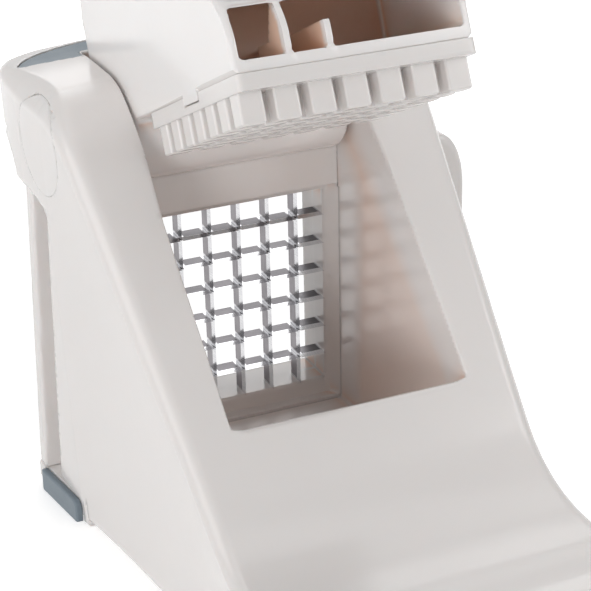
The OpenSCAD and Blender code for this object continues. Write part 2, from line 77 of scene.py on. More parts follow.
def disc(u, v, centre, radius):
    return np.hypot(u - centre[0], v - centre[1]) - radius


def outline(u, v, points):         # signed distance to a closed polygon
    u, v = np.broadcast_arrays(np.asarray(u, float), np.asarray(v, float))
    best = np.full(u.shape, 1e12)
    sign = np.ones(u.shape)
    for (ax, ay), (bx, by) in zip(points, points[1:] + points[:1]):
        ex, ey, wx, wy = bx - ax, by - ay, u - ax, v - ay
        t = np.clip((wx * ex + wy * ey) / max(ex * ex + ey * ey, 1e-12), 0, 1)
        best = np.minimum(best, (wx - t * ex) ** 2 + (wy - t * ey) ** 2)
        above, below, left = v >= ay, v < by, ex * wy > ey * wx
        sign = np.where((above & below & left) | (~above & ~below & ~left), -sign, sign)
    return sign * np.sqrt(best)


def tabled(points, low, high, step=0.25):   # the same, looked up in a fine table
    us = np.arange(low[0], high[0] + step, step)
    vs = np.arange(low[1], high[1] + step, step)
    table = outline(us[:, None], vs[None, :], points)

    def look(u, v):
        fu = np.clip((u - low[0]) / step, 0, len(us) - 1.001)
        fv = np.clip((v - low[1]) / step, 0, len(vs) - 1.001)
        i, j = fu.astype(int), fv.astype(int)
        a, b = fu - i, fv - j
        return ((table[i, j] * (1 - a) + table[i + 1, j] * a) * (1 - b)
                + (table[i, j + 1] * (1 - a) + table[i + 1, j + 1] * a) * b)
    return look


def slope(solid, p, h=0.12):       # direction in which the distance grows
    g = np.empty_like(p)
    for i in range(3):
        step = np.zeros(3)
        step[i] = h
        g[:, i] = solid(*(p + step).T) - solid(*(p - step).T)
    return g / np.maximum(np.linalg.norm(g, axis=1, keepdims=True), 1e-9)


def toTable(p):                    # grid frame in mm to the part's frame in metres
    return (p + np.array(gridPlace)) / 1000


def leverToTable(p):               # (x, s, n) of the lever to the part's frame
    c, s = math.cos(leverTilt), math.sin(leverTilt)
    y = pivot[0] - p[:, 1] * c + p[:, 2] * s
    z = pivot[1] + p[:, 1] * s + p[:, 2] * c
    return toTable(np.stack([p[:, 0], y, z], 1))


# how closely a skin is followed, and how far round a corner the painted shade and the edge wear reach
skinRules = dict(before=1.37, beyond=2.2, searches=3, slack=0.02, flatShare=0.1, sharpDot=0.93, strayDot=0.6,
                 cornerShare=0.45, reaches=(3.0, 8.0, 18.0, 36.0), skinDepth=1.4, edgeDepth=2.0)


def crossings(solid, ax, f, cell):
    # where the skin cuts the grid's edges, each with a quad of the four cells round it
    strides = np.array((f.shape[1] * f.shape[2], f.shape[2], 1))
    inside = f < 0
    slack = skinRules["slack"]
    points, quads = [], []
    for i in range(3):
        front, back = [slice(None)] * 3, [slice(None)] * 3
        front[i], back[i] = slice(0, -1), slice(1, None)
        at = np.argwhere(inside[tuple(front)] != inside[tuple(back)])
        ahead = at.copy()
        ahead[:, i] += 1
        f0, f1 = f[tuple(at.T)], f[tuple(ahead.T)]
        t = f0 / (f0 - f1)
        p = np.stack([ax[k][at[:, k]] for k in range(3)], 1)
        base = p[:, i].copy()
        lo, hi = np.zeros(len(t)), np.ones(len(t))
        flo, fhi = f0.astype(float), f1.astype(float)
        for _ in range(skinRules["searches"]):
            p[:, i] = base + t * cell
            v = solid(*p.T)
            same = (v < 0) == (flo < 0)
            lo, flo = np.where(same, t, lo), np.where(same, v, flo)
            hi, fhi = np.where(same, hi, t), np.where(same, fhi, v)
            share = flo / np.where(flo == fhi, 1e-9, flo - fhi)
            t = lo + (hi - lo) * np.clip(share, slack, 1 - slack)
        p[:, i] = base + t * cell
        points.append(p)
        around = []
        for dj, dk in ((-1, -1), (0, -1), (0, 0), (-1, 0)):
            c = at.copy()
            c[:, (i + 1) % 3] += dj
            c[:, (i + 2) % 3] += dk
            around.append(c @ strides)
        around = np.stack(around, 1)
        quads.append(np.where((f0 < 0)[:, None], around, around[:, ::-1]))
    return np.concatenate(points), np.concatenate(quads)


def corners(solid, ax, shape, cell, points, quads):
    # one corner in each crossed cell, where the surfaces that cross it meet
    ids, index = np.unique(quads.reshape(-1), return_inverse=True)
    normals = np.repeat(slope(solid, points), 4, axis=0)
    points = np.repeat(points, 4, axis=0)

    def total(w):
        return np.bincount(index, w, len(ids))

    count = total(np.ones(len(index)))
    middle = np.stack([total(points[:, k]) for k in range(3)], 1) / count[:, None]
    away = np.einsum("ij,ij->i", normals, points - middle[index])
    m = np.empty((len(ids), 3, 3))
    r = np.empty((len(ids), 3))
    for a in range(3):
        r[:, a] = total(normals[:, a] * away)
        for b in range(a, 3):
            m[:, a, b] = m[:, b, a] = total(normals[:, a] * normals[:, b])
    w, v = np.linalg.eigh(m)
    keep = w > skinRules["flatShare"] * w[:, 2:3]
    inverse = np.where(keep, 1 / np.where(keep, w, 1), 0)
    shift = np.einsum("nij,nj,nkj,nk->ni", v, inverse, v, r)
    corner = np.stack(np.unravel_index(ids, shape), 1)
    start = np.stack([ax[k][corner[:, k]] for k in range(3)], 1)
    slack = skinRules["slack"] * cell
    return ids, np.clip(middle + shift, start - slack, start + cell + slack)


def splitNormals(solid, verts, quads, normals):
    # each loop has the skin's own normal, taken beside the corner where an edge is sharp
    centre = verts[quads].mean(1)
    faces = np.cross(verts[quads[:, 2]] - verts[quads[:, 0]], verts[quads[:, 3]] - verts[quads[:, 1]])
    size = np.linalg.norm(faces, axis=1)
    good = size > 1e-9
    quads, centre, faces = quads[good], centre[good], faces[good] / size[good][:, None]
    loops = quads.reshape(-1)
    faces = np.repeat(faces, 4, axis=0)
    split = normals[loops]
    sharp = np.einsum("ij,ij->i", split, faces) < skinRules["sharpDot"]
    share = skinRules["cornerShare"]
    beside = share * verts[loops[sharp]] + (1 - share) * np.repeat(centre, 4, axis=0)[sharp]
    near = slope(solid, beside)
    stray = np.einsum("ij,ij->i", near, faces[sharp]) < skinRules["strayDot"]
    near[stray] = faces[sharp][stray]
    split[sharp] = near
    return quads, split


def mould(name, solid, low, high, cell, place=toTable, flipped=False, within=None, depth=1.0):
    # A skin of quads round a solid, flat where it is flat and crisp at its edges. Hollows of the
    # solid, and what lies deep within another solid, get painted shade
    before, beyond = skinRules["before"] * cell, skinRules["beyond"] * cell
    ax = [np.arange(l - before, h + beyond, cell) for l, h in zip(low, high)]
    f = solid(ax[0][:, None, None], ax[1][None, :, None], ax[2][None, None, :])
    f = np.broadcast_to(f, [len(a) for a in ax])
    points, quads = crossings(solid, ax, f, cell)
    ids, verts = corners(solid, ax, f.shape, cell, points, quads)
    verts = np.clip(verts, low, high)
    normals = slope(solid, verts)
    quads, split = splitNormals(solid, verts, np.searchsorted(ids, quads), normals)
    loops = quads.reshape(-1)

    # how deep in painted shade and how edgy each corner is, for the materials
    shadeAmount = np.zeros(len(verts))
    reaches, inner = skinRules["reaches"], skinRules["edgeDepth"]
    # painted shade, growing where the skin faces other parts of the solid across a hollow
    for h in reaches:
        shadeAmount += np.clip(1 - solid(*(verts + normals * h).T) / h, 0, 1) / len(reaches)
    # painted shade also on skin that lies deep within the given outline
    if within is not None:
        shadeAmount = np.maximum(shadeAmount, np.clip((-within(*verts.T) - skinRules["skinDepth"]) / depth, 0, 1))
    edge = np.clip(1 + solid(*(verts - normals * inner).T) / inner, 0, 1)

    mesh = bpy.data.meshes.new(name)
    mesh.vertices.add(len(verts))
    mesh.vertices.foreach_set("co", place(verts).astype(np.float32).ravel())
    order = quads[:, ::-1] if flipped else quads
    mesh.loops.add(order.size)
    mesh.loops.foreach_set("vertex_index", order.astype(np.int32).ravel())
    mesh.polygons.add(len(order))
    mesh.polygons.foreach_set("loop_start", np.arange(0, order.size, 4, dtype=np.int32))
    mesh.update(calc_edges=True)
    mesh.shade_smooth()
    turned = place(verts[loops] + split) - place(verts[loops])
    turned /= np.linalg.norm(turned, axis=1, keepdims=True)
    if flipped:
        turned = turned.reshape(-1, 4, 3)[:, ::-1].reshape(-1, 3)
    mesh.normals_split_custom_set(turned.astype(np.float32).tolist())
    for key, values in (("paintedShade", shadeAmount), ("edge", edge)):
        mesh.attributes.new(key, "FLOAT", "POINT").data.foreach_set("value", values.astype(np.float32))
    piece = bpy.data.objects.new(name, mesh)
    bpy.context.scene.collection.objects.link(piece)
    print("moulded", name, len(verts), "corners", 2 * len(order), "triangles")
    return piece


towerShape = dict(
    headHeight=85.0, headHalfWidth=58.2, slope=43.7, bottom=-64.6,
    taper=0.053, taperEnd=12.0, lean=0.0365, flareFrom=-100.0, flareRate=0.0026, pinch=0.00074,
    pinchFrom=-9.0, backFrom=10.0, backDepth=33.0, squareness=5.0, crease=4.8, shoulder=9.0,
    rearEdge=3.2, wall=2.8,
    wallIn=53.4, rearFrom=-9.0, rearTop=46.9, capFloor=57.0, axleFrom=30.0, axleTo=50.0, panTop=-59.9,
    chamberHalf=37.0, slotNarrow=1.3, slotFront=-38.3, slotBack=23.0, slotLow=38.0, washerWell=11.3,
    axleWell=8.05, sweepRadius=105.64, throatY=-5.0, lipRadius=2.4, rimRadius=0.9)
crownShape = dict(across=3.2, half=57.0, acrossFrom=-26.0, back=3.0, backFrom=5.0, backLength=37.0)
capShape = dict(centre=(pivot[0] + 2.4, pivot[1] - 1.0), radius=15.2, inner=57.1, proud=0.05, crown=0.25,
                wellGap=0.07, reach=17.1, outside=62.5)
padShape = dict(low=82.0, high=84.7, half=58.0, front=18.0, sweep=0.18, sweepFrom=36.0, backFrom=10.0,
                backDepth=28.6, squareness=3.2, notchHalf=36.3, notchBack=23.9, gap=0.12)


def frontWalk(start, legs):        # arcs and straights: heading is the fall below level, forward is -Y
    (y, z), heading, path = start, 0.0, []
    for size, turn, steps in legs:
        stops = []
        for k in range(1, steps + 1):
            if turn == 0:
                far = size * k / steps
                stops.append((y - far * math.cos(heading), z - far * math.sin(heading), heading))
            else:
                a = heading + math.radians(turn) * k / steps
                r = size if turn > 0 else -size
                stops.append((y - r * (math.sin(a) - math.sin(heading)),
                              z + r * (math.cos(a) - math.cos(heading)), a))
        path += stops
        y, z, heading = stops[-1]
    return path


# the front of the side walls, from the head down to the nose
headFront = (-4.0, towerShape["headHeight"])
frontPath = frontWalk(headFront, [
    (22, 35, 24), (170, towerShape["slope"] - 35, 10), (100.5, 0, 1),
    (57, 5.7 - towerShape["slope"], 24), (5, 0, 1), (20, 85 - 5.7, 30)])
noseY = frontPath[-1][0]
creaseY, creaseZ = np.array(
    sorted((y, z) for y, z, _ in frontPath) + [headFront, (60.0, towerShape["headHeight"])]).T


def sideProfile(rear):             # a side wall's outline with its own rear edge
    low = towerShape["bottom"]
    jaw = [(19.0, 47.0), (20.2, 50.0), (22.0, 53.0), (24.6, 55.7), (28.0, 57.8), (33.0, 59.4),
           (41.5, 60.2), (43.0, 61.8), (42.4, 80.5)]
    turns = [math.radians(a) for a in range(6, 91, 6)]
    brow = [(42.4 - 4 * (1 - math.cos(a)), 80.5 + 4.5 * math.sin(a)) for a in turns]
    return [(noseY, low), (-9.0, low)] + rear + jaw + brow + [headFront] + [(y, z) for y, z, _ in frontPath]


# the right wall ends in front of the sliding cassette, the left one spreads to the back as it goes down
fieldBox = ((-180.0, -75.0), (55.0, 95.0))
rightField = tabled(sideProfile([(-9.0, 36.0), (3.0, 47.0)]), *fieldBox)
leftField = tabled(sideProfile([
    (-9.0, -56.9), (10.0, -56.9), (-6.3, 42.3), (-4.0, 44.3), (1.0, 45.7), (7.0, 46.8)]), *fieldBox)


def halfWidth(y, z):
    t = towerShape
    w = t["headHalfWidth"] + t["taper"] * np.minimum(y, t["taperEnd"])
    w = w + np.where(y < t["flareFrom"], t["flareRate"] * (t["flareFrom"] - y) ** 2, 0)
    low = np.maximum(np.interp(y, creaseY, creaseZ) - z, 0) * np.maximum(t["pinchFrom"] - y, 0)
    return w + t["lean"] * z - t["pinch"] * low


def towerSides(x, y, z):           # leaning side walls, drawn round the back of the head
    t = towerShape
    w = halfWidth(y, z)
    u = np.abs(x) / w
    v = np.maximum(y - t["backFrom"], 0) / t["backDepth"]
    n = t["squareness"]
    q = (u ** n + v ** n) ** (1 / n)
    grow = np.hypot(np.maximum(u, 1e-6) ** (n - 1) / w, v ** (n - 1) / t["backDepth"])
    grow = grow * np.maximum(q, 1e-6) ** (1 - n)
    rounded = (q - 1) / np.maximum(grow, 1e-4)
    flat = (np.abs(x) - w) * 0.985
    return np.where(y > t["backFrom"], rounded, flat)


def eased(v, start, length):       # 0 up to start, 1 from a length further on
    return np.clip((v - start) / length, 0, 1)


def crown(x, y):                   # fall of the head's top to its sides and to the back
    c = crownShape
    across = c["across"] * (x / c["half"]) ** 2 * eased(y, c["acrossFrom"], 18.0)
    return across + c["back"] * (np.maximum(y - c["backFrom"], 0) / c["backLength"]) ** 2


def towerOutside(x, y, z):
    t = towerShape
    side = towerSides(x, y, z)
    high = z + crown(x, y) * eased(z, 62.0, 16.0)
    outlineField = np.where(x < -45.0, leftField(y, high), rightField(y, high))
    # a small radius down the front, a broad one at the shoulders and a crisper one behind
    rise = eased(z, 60.0, 22.0) * eased(y, -28.0, 24.0)
    radius = t["crease"] + (t["shoulder"] - t["crease"]) * rise
    radius = np.where((y > -12.0) & (z < 60.0), 1.2, radius)
    rear = eased(y, -2.0, 30.0) ** 2 * eased(z, 70.0, 8.0)
    radius = radius * (1 - rear) + t["rearEdge"] * rear
    return both(outlineField, side, radius)


def chamber(x, y, z):              # the room that the lever's pusher swings through, and the slot in the head
    t = towerShape
    drum = both(disc(y, z, pivot, t["sweepRadius"]), y - t["throatY"], 0)
    slot = both(slab(y, t["slotFront"], t["slotBack"]), t["slotLow"] - z, 0)
    side = np.abs(x) - t["chamberHalf"]
    room = both(np.minimum(drum, slot), side + t["slotNarrow"] * eased(z, 52.0, 18.0), 1.2)
    return np.minimum(room, both(disc(y, z, pivot, t["washerWell"]), side))


def padField(x, y, grow):          # outline of the slate pad in the head's top
    p = padShape
    n = p["squareness"]
    u = np.abs(x) / (p["half"] + grow)
    v = np.maximum(y - p["backFrom"], 0) / (p["backDepth"] + grow)
    oval = ((u ** n + v ** n) ** (1 / n) - 1) * 26.0
    front = p["front"] - grow + p["sweep"] * np.maximum(np.abs(x) - p["sweepFrom"], 0) - y
    notch = both(np.abs(x) - (p["notchHalf"] - grow), y - (p["notchBack"] - grow), 0.6)
    return cut(both(oval, front, 1.0), notch, 1.0)


def towerSolid(x, y, z):
    t = towerShape
    body = towerOutside(x, y, z)
    # the sill in front of the chamber is rounder than its sides
    sill = eased(-np.abs(x), -36.0, 3.0) * eased(-y, 60.0, 20.0)
    lip = t["rimRadius"] + (t["lipRadius"] - t["rimRadius"]) * sill
    body = cut(body, chamber(x, y, z), lip)
    behind = np.maximum(np.maximum(-t["wallIn"] - x, t["rearFrom"] - y), z - t["rearTop"])
    body = np.where(x < 0, cut(body, behind, 0.0), body)
    capRoom = disc(y, z, capShape["centre"], capShape["radius"] + capShape["wellGap"])
    body = cut(body, both(capRoom, t["capFloor"] - np.abs(x)), 0.25)
    axleRoom = both(disc(y, z, pivot, t["axleWell"]), slab(np.abs(x), t["axleFrom"], t["axleTo"]))
    body = cut(body, axleRoom, 0.5)
    body = cut(body, both(padField(x, y, padShape["gap"]), padShape["low"] - z - crown(x, y)), 0.35)
    within = both(towerSides(x, y, z) + t["wall"] + 0.1, noseY + t["wall"] + 0.4 - y)
    return cut(body, both(within, z - t["panTop"]), 0.4)


tower = mould("towerBody", towerSolid, (-64.0, noseY, -65.0), (64.0, 43.5, 85.5), 1.3,
              within=towerOutside, depth=24.0)

# frame round the opening, with a lead-in to the blades
throatShape = dict(halfWidth=52.0, front=-9.0, back=-3.8, low=-56.9, shoulder=36.0, top=50.2, railHalf=36.9,
                   openHalf=34.0, leadHalf=37.0, pocketLow=-38.5, pocketHigh=37.6, pocketBack=-5.2)


def throatSolid(x, y, z):
    t = throatShape
    frameBlock = block(x, y, z, (-t["halfWidth"], t["front"], t["low"]),
                       (t["halfWidth"], t["back"], t["shoulder"]), 0.3)
    rail = block(x, y, z, (-t["railHalf"], t["front"], 0), (t["railHalf"], t["back"], t["top"]), 0.5)
    fall = (t["leadHalf"] - t["openHalf"]) / (t["back"] - t["front"])
    side = (np.abs(x) - t["leadHalf"] + (y - t["front"]) * fall) * 0.866
    into = np.maximum(y - t["pocketBack"], 0) / (t["back"] - t["pocketBack"])
    above = (z - t["pocketHigh"] + into * (t["pocketHigh"] - t["openHalf"])) * np.where(into > 0, 0.36, 1.0)
    below = (t["pocketLow"] + into * (-t["openHalf"] - t["pocketLow"]) - z) * np.where(into > 0, 0.3, 1.0)
    return cut(np.minimum(frameBlock, rail), both(side, np.maximum(above, below), 1.0), 0.25)


throat = mould("throatFrame", throatSolid, (-52, -9, -57), (52, -3.8, 50.3), 0.9,
               within=towerOutside, depth=30.0)

gatewayShape = dict(postOut=59.0, splay=0.026, postWidth=8.0, front=18.0, back=24.0, low=-57.0, top=55.0,
                    half=52.0, sillHeight=6.0, lipHeight=11.0, lipDepth=2.0)


def gatewaySolid(x, y, z):         # posts behind the blades, joined by a sill with a lip
    g = gatewayShape
    leant = np.abs(x) + g["splay"] * (z + 50.0)
    posts = block(leant, y, z, (g["postOut"] - g["postWidth"], g["front"], g["low"]),
                  (g["postOut"], g["back"], g["top"]), 1.2)
    sill = block(x, y, z, (-g["half"], g["front"], g["low"]),
                 (g["half"], g["back"], g["low"] + g["sillHeight"]), 0.6)
    lip = block(x, y, z, (-g["half"], g["back"] - g["lipDepth"], g["low"]),
                (g["half"], g["back"], g["low"] + g["lipHeight"]), 0.6)
    return join(join(sill, lip, 1.0), posts, 1.2)


gateway = mould("rearGateway", gatewaySolid, (-59, 18, -57), (59, 24, 55), 1.0)

footShape = dict(outer=60.6, slant=0.127, thick=2.3, front=-7.2, back=19.2, low=-65.0, high=-57.4, nose=3.2)
discShape = dict(radius=9.0, low=-65.0, top=-61.8, rings=(3.0, 6.0), ringHalf=0.5, ringTop=-64.4)
baseShape = dict(top=-60.0, bottom=-65.0, front=noseY + 3.4, back=-6.0, gap=0.3, ledgeHalf=59.2,
                 ledgeFront=-8.9, ledgeBack=25.0, ledgeTop=-57.0, ledgeBottom=-63.0, screwRadius=3.2,
                 screwFloor=-61.8, underHalf=52.5, underFront=-4.0, underBack=22.0, underTop=-58.5)
baseScrews = [(-42.5, -18.0), (42.5, -18.0), (-39.5, -117.8), (39.5, -117.8)]
frontFeet = [(-34.0, -135.0), (34.0, -135.0)]


def footFace(y):                   # the rear feet's outer face, slanting in to the front
    return footShape["outer"] - footShape["slant"] * (footShape["back"] - y)


def footWell(x, y, z, grow):       # room for the feet in the base
    f, d = footShape, discShape
    well = both(footFace(y) - f["thick"] - grow - np.abs(x), slab(y, f["front"] - 3, f["back"] + grow))
    for spot in frontFeet:
        well = np.minimum(well, both(disc(x, y, spot, d["radius"] + grow), z - (d["top"] + grow)))
    return well


def baseSolid(x, y, z):
    b = baseShape
    side = np.abs(x) - (halfWidth(y, b["ledgeBottom"]) - towerShape["wall"] - b["gap"])
    plate = both(both(side, slab(y, b["front"], b["back"]), 1.0), slab(z, b["bottom"], b["top"]), 0.4)
    ledge = block(x, y, z, (-b["ledgeHalf"], b["ledgeFront"], b["ledgeBottom"]),
                  (b["ledgeHalf"], b["ledgeBack"], b["ledgeTop"]), 0.9)
    under = block(x, y, z, (-b["underHalf"], b["underFront"], b["bottom"] - 5),
                  (b["underHalf"], b["underBack"], b["underTop"]), 0.5)
    body = cut(np.minimum(plate, ledge), under, 0.4)
    for spot in baseScrews:
        body = cut(body, both(disc(x, y, spot, b["screwRadius"]), z - b["screwFloor"]), 0.3)
    return cut(body, footWell(x, y, z, 0.1), 0.2)


base = mould("basePlate", baseSolid, (-59.5, noseY + 3, -65), (59.5, 25, -57), 1.3)


def rearFoot(side):
    def solid(x, y, z):
        f = footShape
        plan = both(np.abs(x) - footFace(y), slab(y, f["front"], f["back"]), 0.9)
        plan = both(plan, footFace(y) - f["thick"] - np.abs(x), 0.2)
        nose = both(f["front"] - y, z - f["high"], f["nose"])
        foot = both(both(plan, nose, 0.7), f["low"] - z, 0.2)
        return both(foot, 1 - side * x)
    return solid


leftFoot = mould("leftRearFoot", rearFoot(-1), (-60.7, -7.3, -65), (-54.5, 19.3, -57.4), 0.4)
rightFoot = mould("rightRearFoot", rearFoot(1), (54.5, -7.3, -65), (60.7, 19.3, -57.4), 0.4)


def frontFeetSolid(x, y, z):       # discs with ring grooves in their soles
    d = discShape
    feet = np.minimum(*[disc(x, y, spot, d["radius"]) for spot in frontFeet])
    soles = both(feet, slab(z, d["low"], d["top"]), 0.6)
    for r in d["rings"]:
        for spot in frontFeet:
            groove = both(np.abs(disc(x, y, spot, r)) - d["ringHalf"], z - d["ringTop"])
            soles = cut(soles, groove, 0.15)
    return soles


feet = mould("frontFeet", frontFeetSolid, (-43.2, -144.2, -65), (43.2, -125.8, -61.8), 0.6)

railShape = dict(half=50.0, front=-3.8, back=17.9, shelfTop=-40.4, shelfBottom=-44.4, legLow=-57, legTop=-43,
                 legs=(20, 47), legWidth=3, guideIn=38, guideFront=3.5, guideLow=40.4, guideTop=46.9)


def railSolid(x, y, z):            # the shelf that the cassette slides on, its legs and the guides above
    r = railShape
    u = np.abs(x)
    shelf = block(x, y, z, (-r["half"], r["front"], r["shelfBottom"]),
                  (r["half"], r["back"], r["shelfTop"]), 0.5)
    legs = np.minimum(*[block(u, y, z, (leg, r["front"], r["legLow"]),
                              (leg + r["legWidth"], r["back"], r["legTop"]), 0.4) for leg in r["legs"]])
    guides = block(u, y, z, (r["guideIn"], r["guideFront"], r["guideLow"]),
                   (r["half"], r["back"], r["guideTop"]), 0.5)
    return np.minimum(join(shelf, legs, 0.8), guides)


rails = mould("slideRails", railSolid, (-50, -3.8, -57), (50, 17.9, 46.9), 1.0)


def padSolid(x, y, z):
    high = z + crown(x, y)
    return both(both(padField(x, y, 0.0), high - padShape["high"], 0.55), padShape["low"] - high, 0.2)


pad = mould("headPad", padSolid, (-58, 17.9, 74), (58, 38.7, 85), 0.6)


def capSolid(side):
    def solid(x, y, z):
        c = capShape
        face = towerOutside(x, y, z) - c["proud"]
        cap = both(disc(y, z, c["centre"], c["radius"]), face, c["crown"])
        return both(cap, c["inner"] - side * x, 0.2)
    return solid


capLow, capHigh = [tuple(v + way * capShape["reach"] for v in pivot) for way in (-1, 1)]
rightCap = mould("rightCap", capSolid(1), (57, *capLow), (capShape["outside"], *capHigh), 0.55)
leftCap = mould("leftCap", capSolid(-1), (-capShape["outside"], *capLow), (-57, *capHigh), 0.55)


cassetteShape = dict(left=-52.0, right=61.0, half=40.0, front=-3.7, seam=4.3, gap=0.1, flange=2.6,
                     flangeRight=63.0, tunnelHalf=37.5, tunnelBack=12.8, opening=34.0, gripIn=61.1,
                     gripOut=86.0, gripTop=45.0, gripFront=-3.6, gripBack=11.8, gripCorner=(9.0, 19.0),
                     fingers=((64.0, 83.0), (-34.0, 36.0)), fingersFront=-0.7, screwX=47.0,
                     screwZ=36.0, screwHole=2.15, boss=3.4, bossHeight=0.4, bossFloor=7.0, bevel=0.8)


def opening(x, z, grow=0.0):       # the square that the blades stand in
    half = cassetteShape["opening"] + grow
    return both(np.abs(x) - half, np.abs(z) - half)


def holderSolid(x, y, z):
    c = cassetteShape
    plate = block(x, y, z, (c["left"], c["front"], -c["half"]), (c["right"], c["seam"], c["half"]), 0.4)
    return cut(plate, opening(x, z, np.maximum(c["front"] + c["bevel"] - y, 0)), 0.1)


def gripSlab(x, y, z):             # pull grip: rounded slab with a hollow for the fingers in its back
    c = cassetteShape
    wide, tall = c["gripCorner"]
    mid, half = (c["gripTop"] - c["half"]) / 2, (c["gripTop"] + c["half"]) / 2
    corner = both((x - c["gripOut"]) / wide, (np.abs(z - mid) - half) / tall, 1.0) * wide
    face = np.maximum(corner, np.abs(z - mid) - half)
    plan = both(face, c["gripIn"] - x, 0.3)
    slabbed = both(both(plan, c["gripFront"] - y, 1.6), y - c["gripBack"], 1.2)
    (x0, x1), (z0, z1) = c["fingers"]
    hollow = both(np.maximum(x0 - x, x - x1), np.maximum(z0 - z, z - z1), 4.0)
    return cut(slabbed, both(hollow, c["fingersFront"] - y, 1.0), 0.8)


def cassetteBackSolid(x, y, z):
    c = cassetteShape
    y0, h = c["seam"] + c["gap"], c["tunnelHalf"]
    y1 = y0 + c["flange"]
    flange = block(x, y, z, (c["left"], y0, -c["half"]), (c["flangeRight"], y1, c["half"]), 0.3)
    tunnel = block(x, y, z, (-h, y0, -h), (h, c["tunnelBack"], h), 0.5)
    ribs = block(x, y, np.abs(z), (c["left"], y0, c["half"] - 2), (c["right"], c["gripBack"], c["half"]), 0.3)
    shell = join(join(flange, tunnel, 1.0), ribs, 0.6)
    body = cut(join(shell, gripSlab(x, y, z), 0.8), opening(x, z), 0.5)
    spots = np.hypot(np.abs(x) - c["screwX"], np.abs(z) - c["screwZ"])
    boss = both(spots - c["boss"], slab(y, y0, y1 + c["bossHeight"]), 0.3)
    return cut(join(body, boss, 0.3), both(spots - c["screwHole"], c["bossFloor"] - y), 0.1)


holder = mould("cassetteHolder", holderSolid, (-52, -3.7, -40), (61, 4.3, 40), 1.0)
cassetteBack = mould("cassetteBack", cassetteBackSolid, (-52, -3.6, -40), (86, 12.8, 45), 1.0)

leverShape = dict(half=34.5, wall=2.6, tip=103.3, floor=1.7, floorTop=4.9, back=-18.6, roof=52.6,
                  edge=1.3, hubRadius=15.0, hubHalf=34.6, axleHole=5.05, skirt=0.5, skirtFrom=24.0)
leverHeel = [(94.3, 30.0), (72.0, leverShape["roof"]), (-10.6, leverShape["roof"]),
             (leverShape["back"], 44.6)]
# webs, from corner to corner (x, s, n); the last pair is mirrored
leverWebs = dict(tall=((-19.2, 80.0, 3.0), (-17.4, 102.9, 50)),
                 foot=((-19.2, 84.0, 3.0), (-17.4, 102.9, 9.7)),
                 low=((-7.4, 30.0, 3.0), (-5.6, 102.9, 12.3)), cross=((-33, 52.0, 3.0), (33, 54.0, 25.0)),
                 far=((17.4, -8, 3.0), (19.2, 52, 50.2)))


def leverSide(tip, tipTop):        # side view of the lever's box
    v = leverShape
    return [(v["back"], v["floor"]), (tip, v["floor"]), (tip, tipTop)] + leverHeel


def convex(u, v, points, radii, inset=0.0):    # convex outline with its own radius at each corner
    far = None
    for k, (a, b) in enumerate(zip(points, points[1:] + points[:1])):
        dx, dy = b[0] - a[0], b[1] - a[1]
        size = math.hypot(dx, dy)
        edge = ((u - a[0]) * dy - (v - a[1]) * dx) / size + inset
        far = edge if far is None else both(far, edge, radii[k])
    return far


def leverBox(s, n, side):
    v = leverShape
    return both(convex(s, n, leverSide(v["tip"], 15.0), [0.5, 0.5, 3, 8, 12, 8, 8]), side, v["edge"])


def leverOutside(x, s, n):
    return leverBox(s, n, np.abs(x) - leverShape["half"])


def leverSolid(x, s, n):
    v = leverShape
    u, r = np.abs(x), np.hypot(s, n)
    # the side walls step in by half a millimetre just above the flange
    skirt = 1.8 + 0.8 * eased(s, 28.0, 50.0)
    side = u - v["half"] + v["skirt"] * np.clip((skirt - n) / 0.3 + 0.5, 0, 1) * eased(s, v["skirtFrom"], 6.0)
    outer = leverBox(s, n, side)
    # the hollow runs out through the tip, so the inner outline is drawn longer
    rise = v["floorTop"] - v["floor"] - v["wall"]
    inner = convex(s, n - rise, leverSide(112.0, 12.4), [2, 0, 2, 7, 10, 6, 6], v["wall"])
    box = cut(outer, both(inner, side + v["wall"] - 0.6, 1.4), 0.4)
    # webs that stiffen the floor and the tip, the tall one with a slanted back
    w = {name: block(u if name == "far" else x, s, n, *ends, 0.3) for name, ends in leverWebs.items()}
    w["tall"] = both(w["tall"], (86.3 + 0.57 * n - s) * 0.87, 0.3)
    webs = np.minimum.reduce(list(w.values()))
    box = join(box, both(webs, outer + 0.4), 0.8)
    barrel = both(r - v["hubRadius"], u - v["hubHalf"], 1.4)
    neck = block(x, s, n, (-34.4, -14.0, 0.0), (34.4, 14.0, 4.6), 0.5)
    tabs = block(u, s, n, (32.6, 60.5, -0.5), (34.4, 72.1, 2.6), 0.25)
    body = join(np.minimum(join(box, barrel, 1.6), tabs), neck, 0.8)
    return cut(body, r - v["axleHole"], 0.4)


pusherShape = dict(half=34.3, root=29.2, tip=104.0, top=1.6, low=-3.2, notch=(60.0, 72.6), notchLow=-0.95,
                   notchIn=32.2, pegRoot=-2.9, pitch=10.0, pegWide=7.0, pegTall=6.4, pegLength=8.6, cells=7,
                   middle=66.2)


def flangeSolid(x, s, n):
    p = pusherShape
    plan = both(np.abs(x) - p["half"], slab(s, p["root"], p["tip"]), 1.5)
    plate = both(plan, slab(n, p["low"], p["top"]), 0.5)
    # notches for the lever's snap tabs
    notch = both(both(slab(s, *p["notch"]), p["notchLow"] - n), p["notchIn"] - np.abs(x), 0.2)
    return cut(plate, notch, 0.2)


lever = mould("leverShell", leverSolid, (-34.6, -18.6, -15), (34.6, 103.3, 52.6), 1.15, leverToTable, True,
              within=leverOutside, depth=2.0)
flange = mould("pusherFlange", flangeSolid, (-34.3, 29.2, -2.9), (34.3, 104.0, 2.5), 1.0, leverToTable, True)

handleShape = dict(s=30.0, n=52.6, lean=math.radians(10), halfWide=18.0, halfDeep=11.5, radius=11.0,
                   length=112.0, collar=18.0, collarOut=3.4, tube=-3.0, bore=-6.0, sleeve=0.6, waist=1.3,
                   sleeveIn=-2.9, rings=5, ringFrom=38.0, ringPitch=14.0, ringHalf=1.1, ringDepth=0.7,
                   gap=0.1, capHeight=5.0)


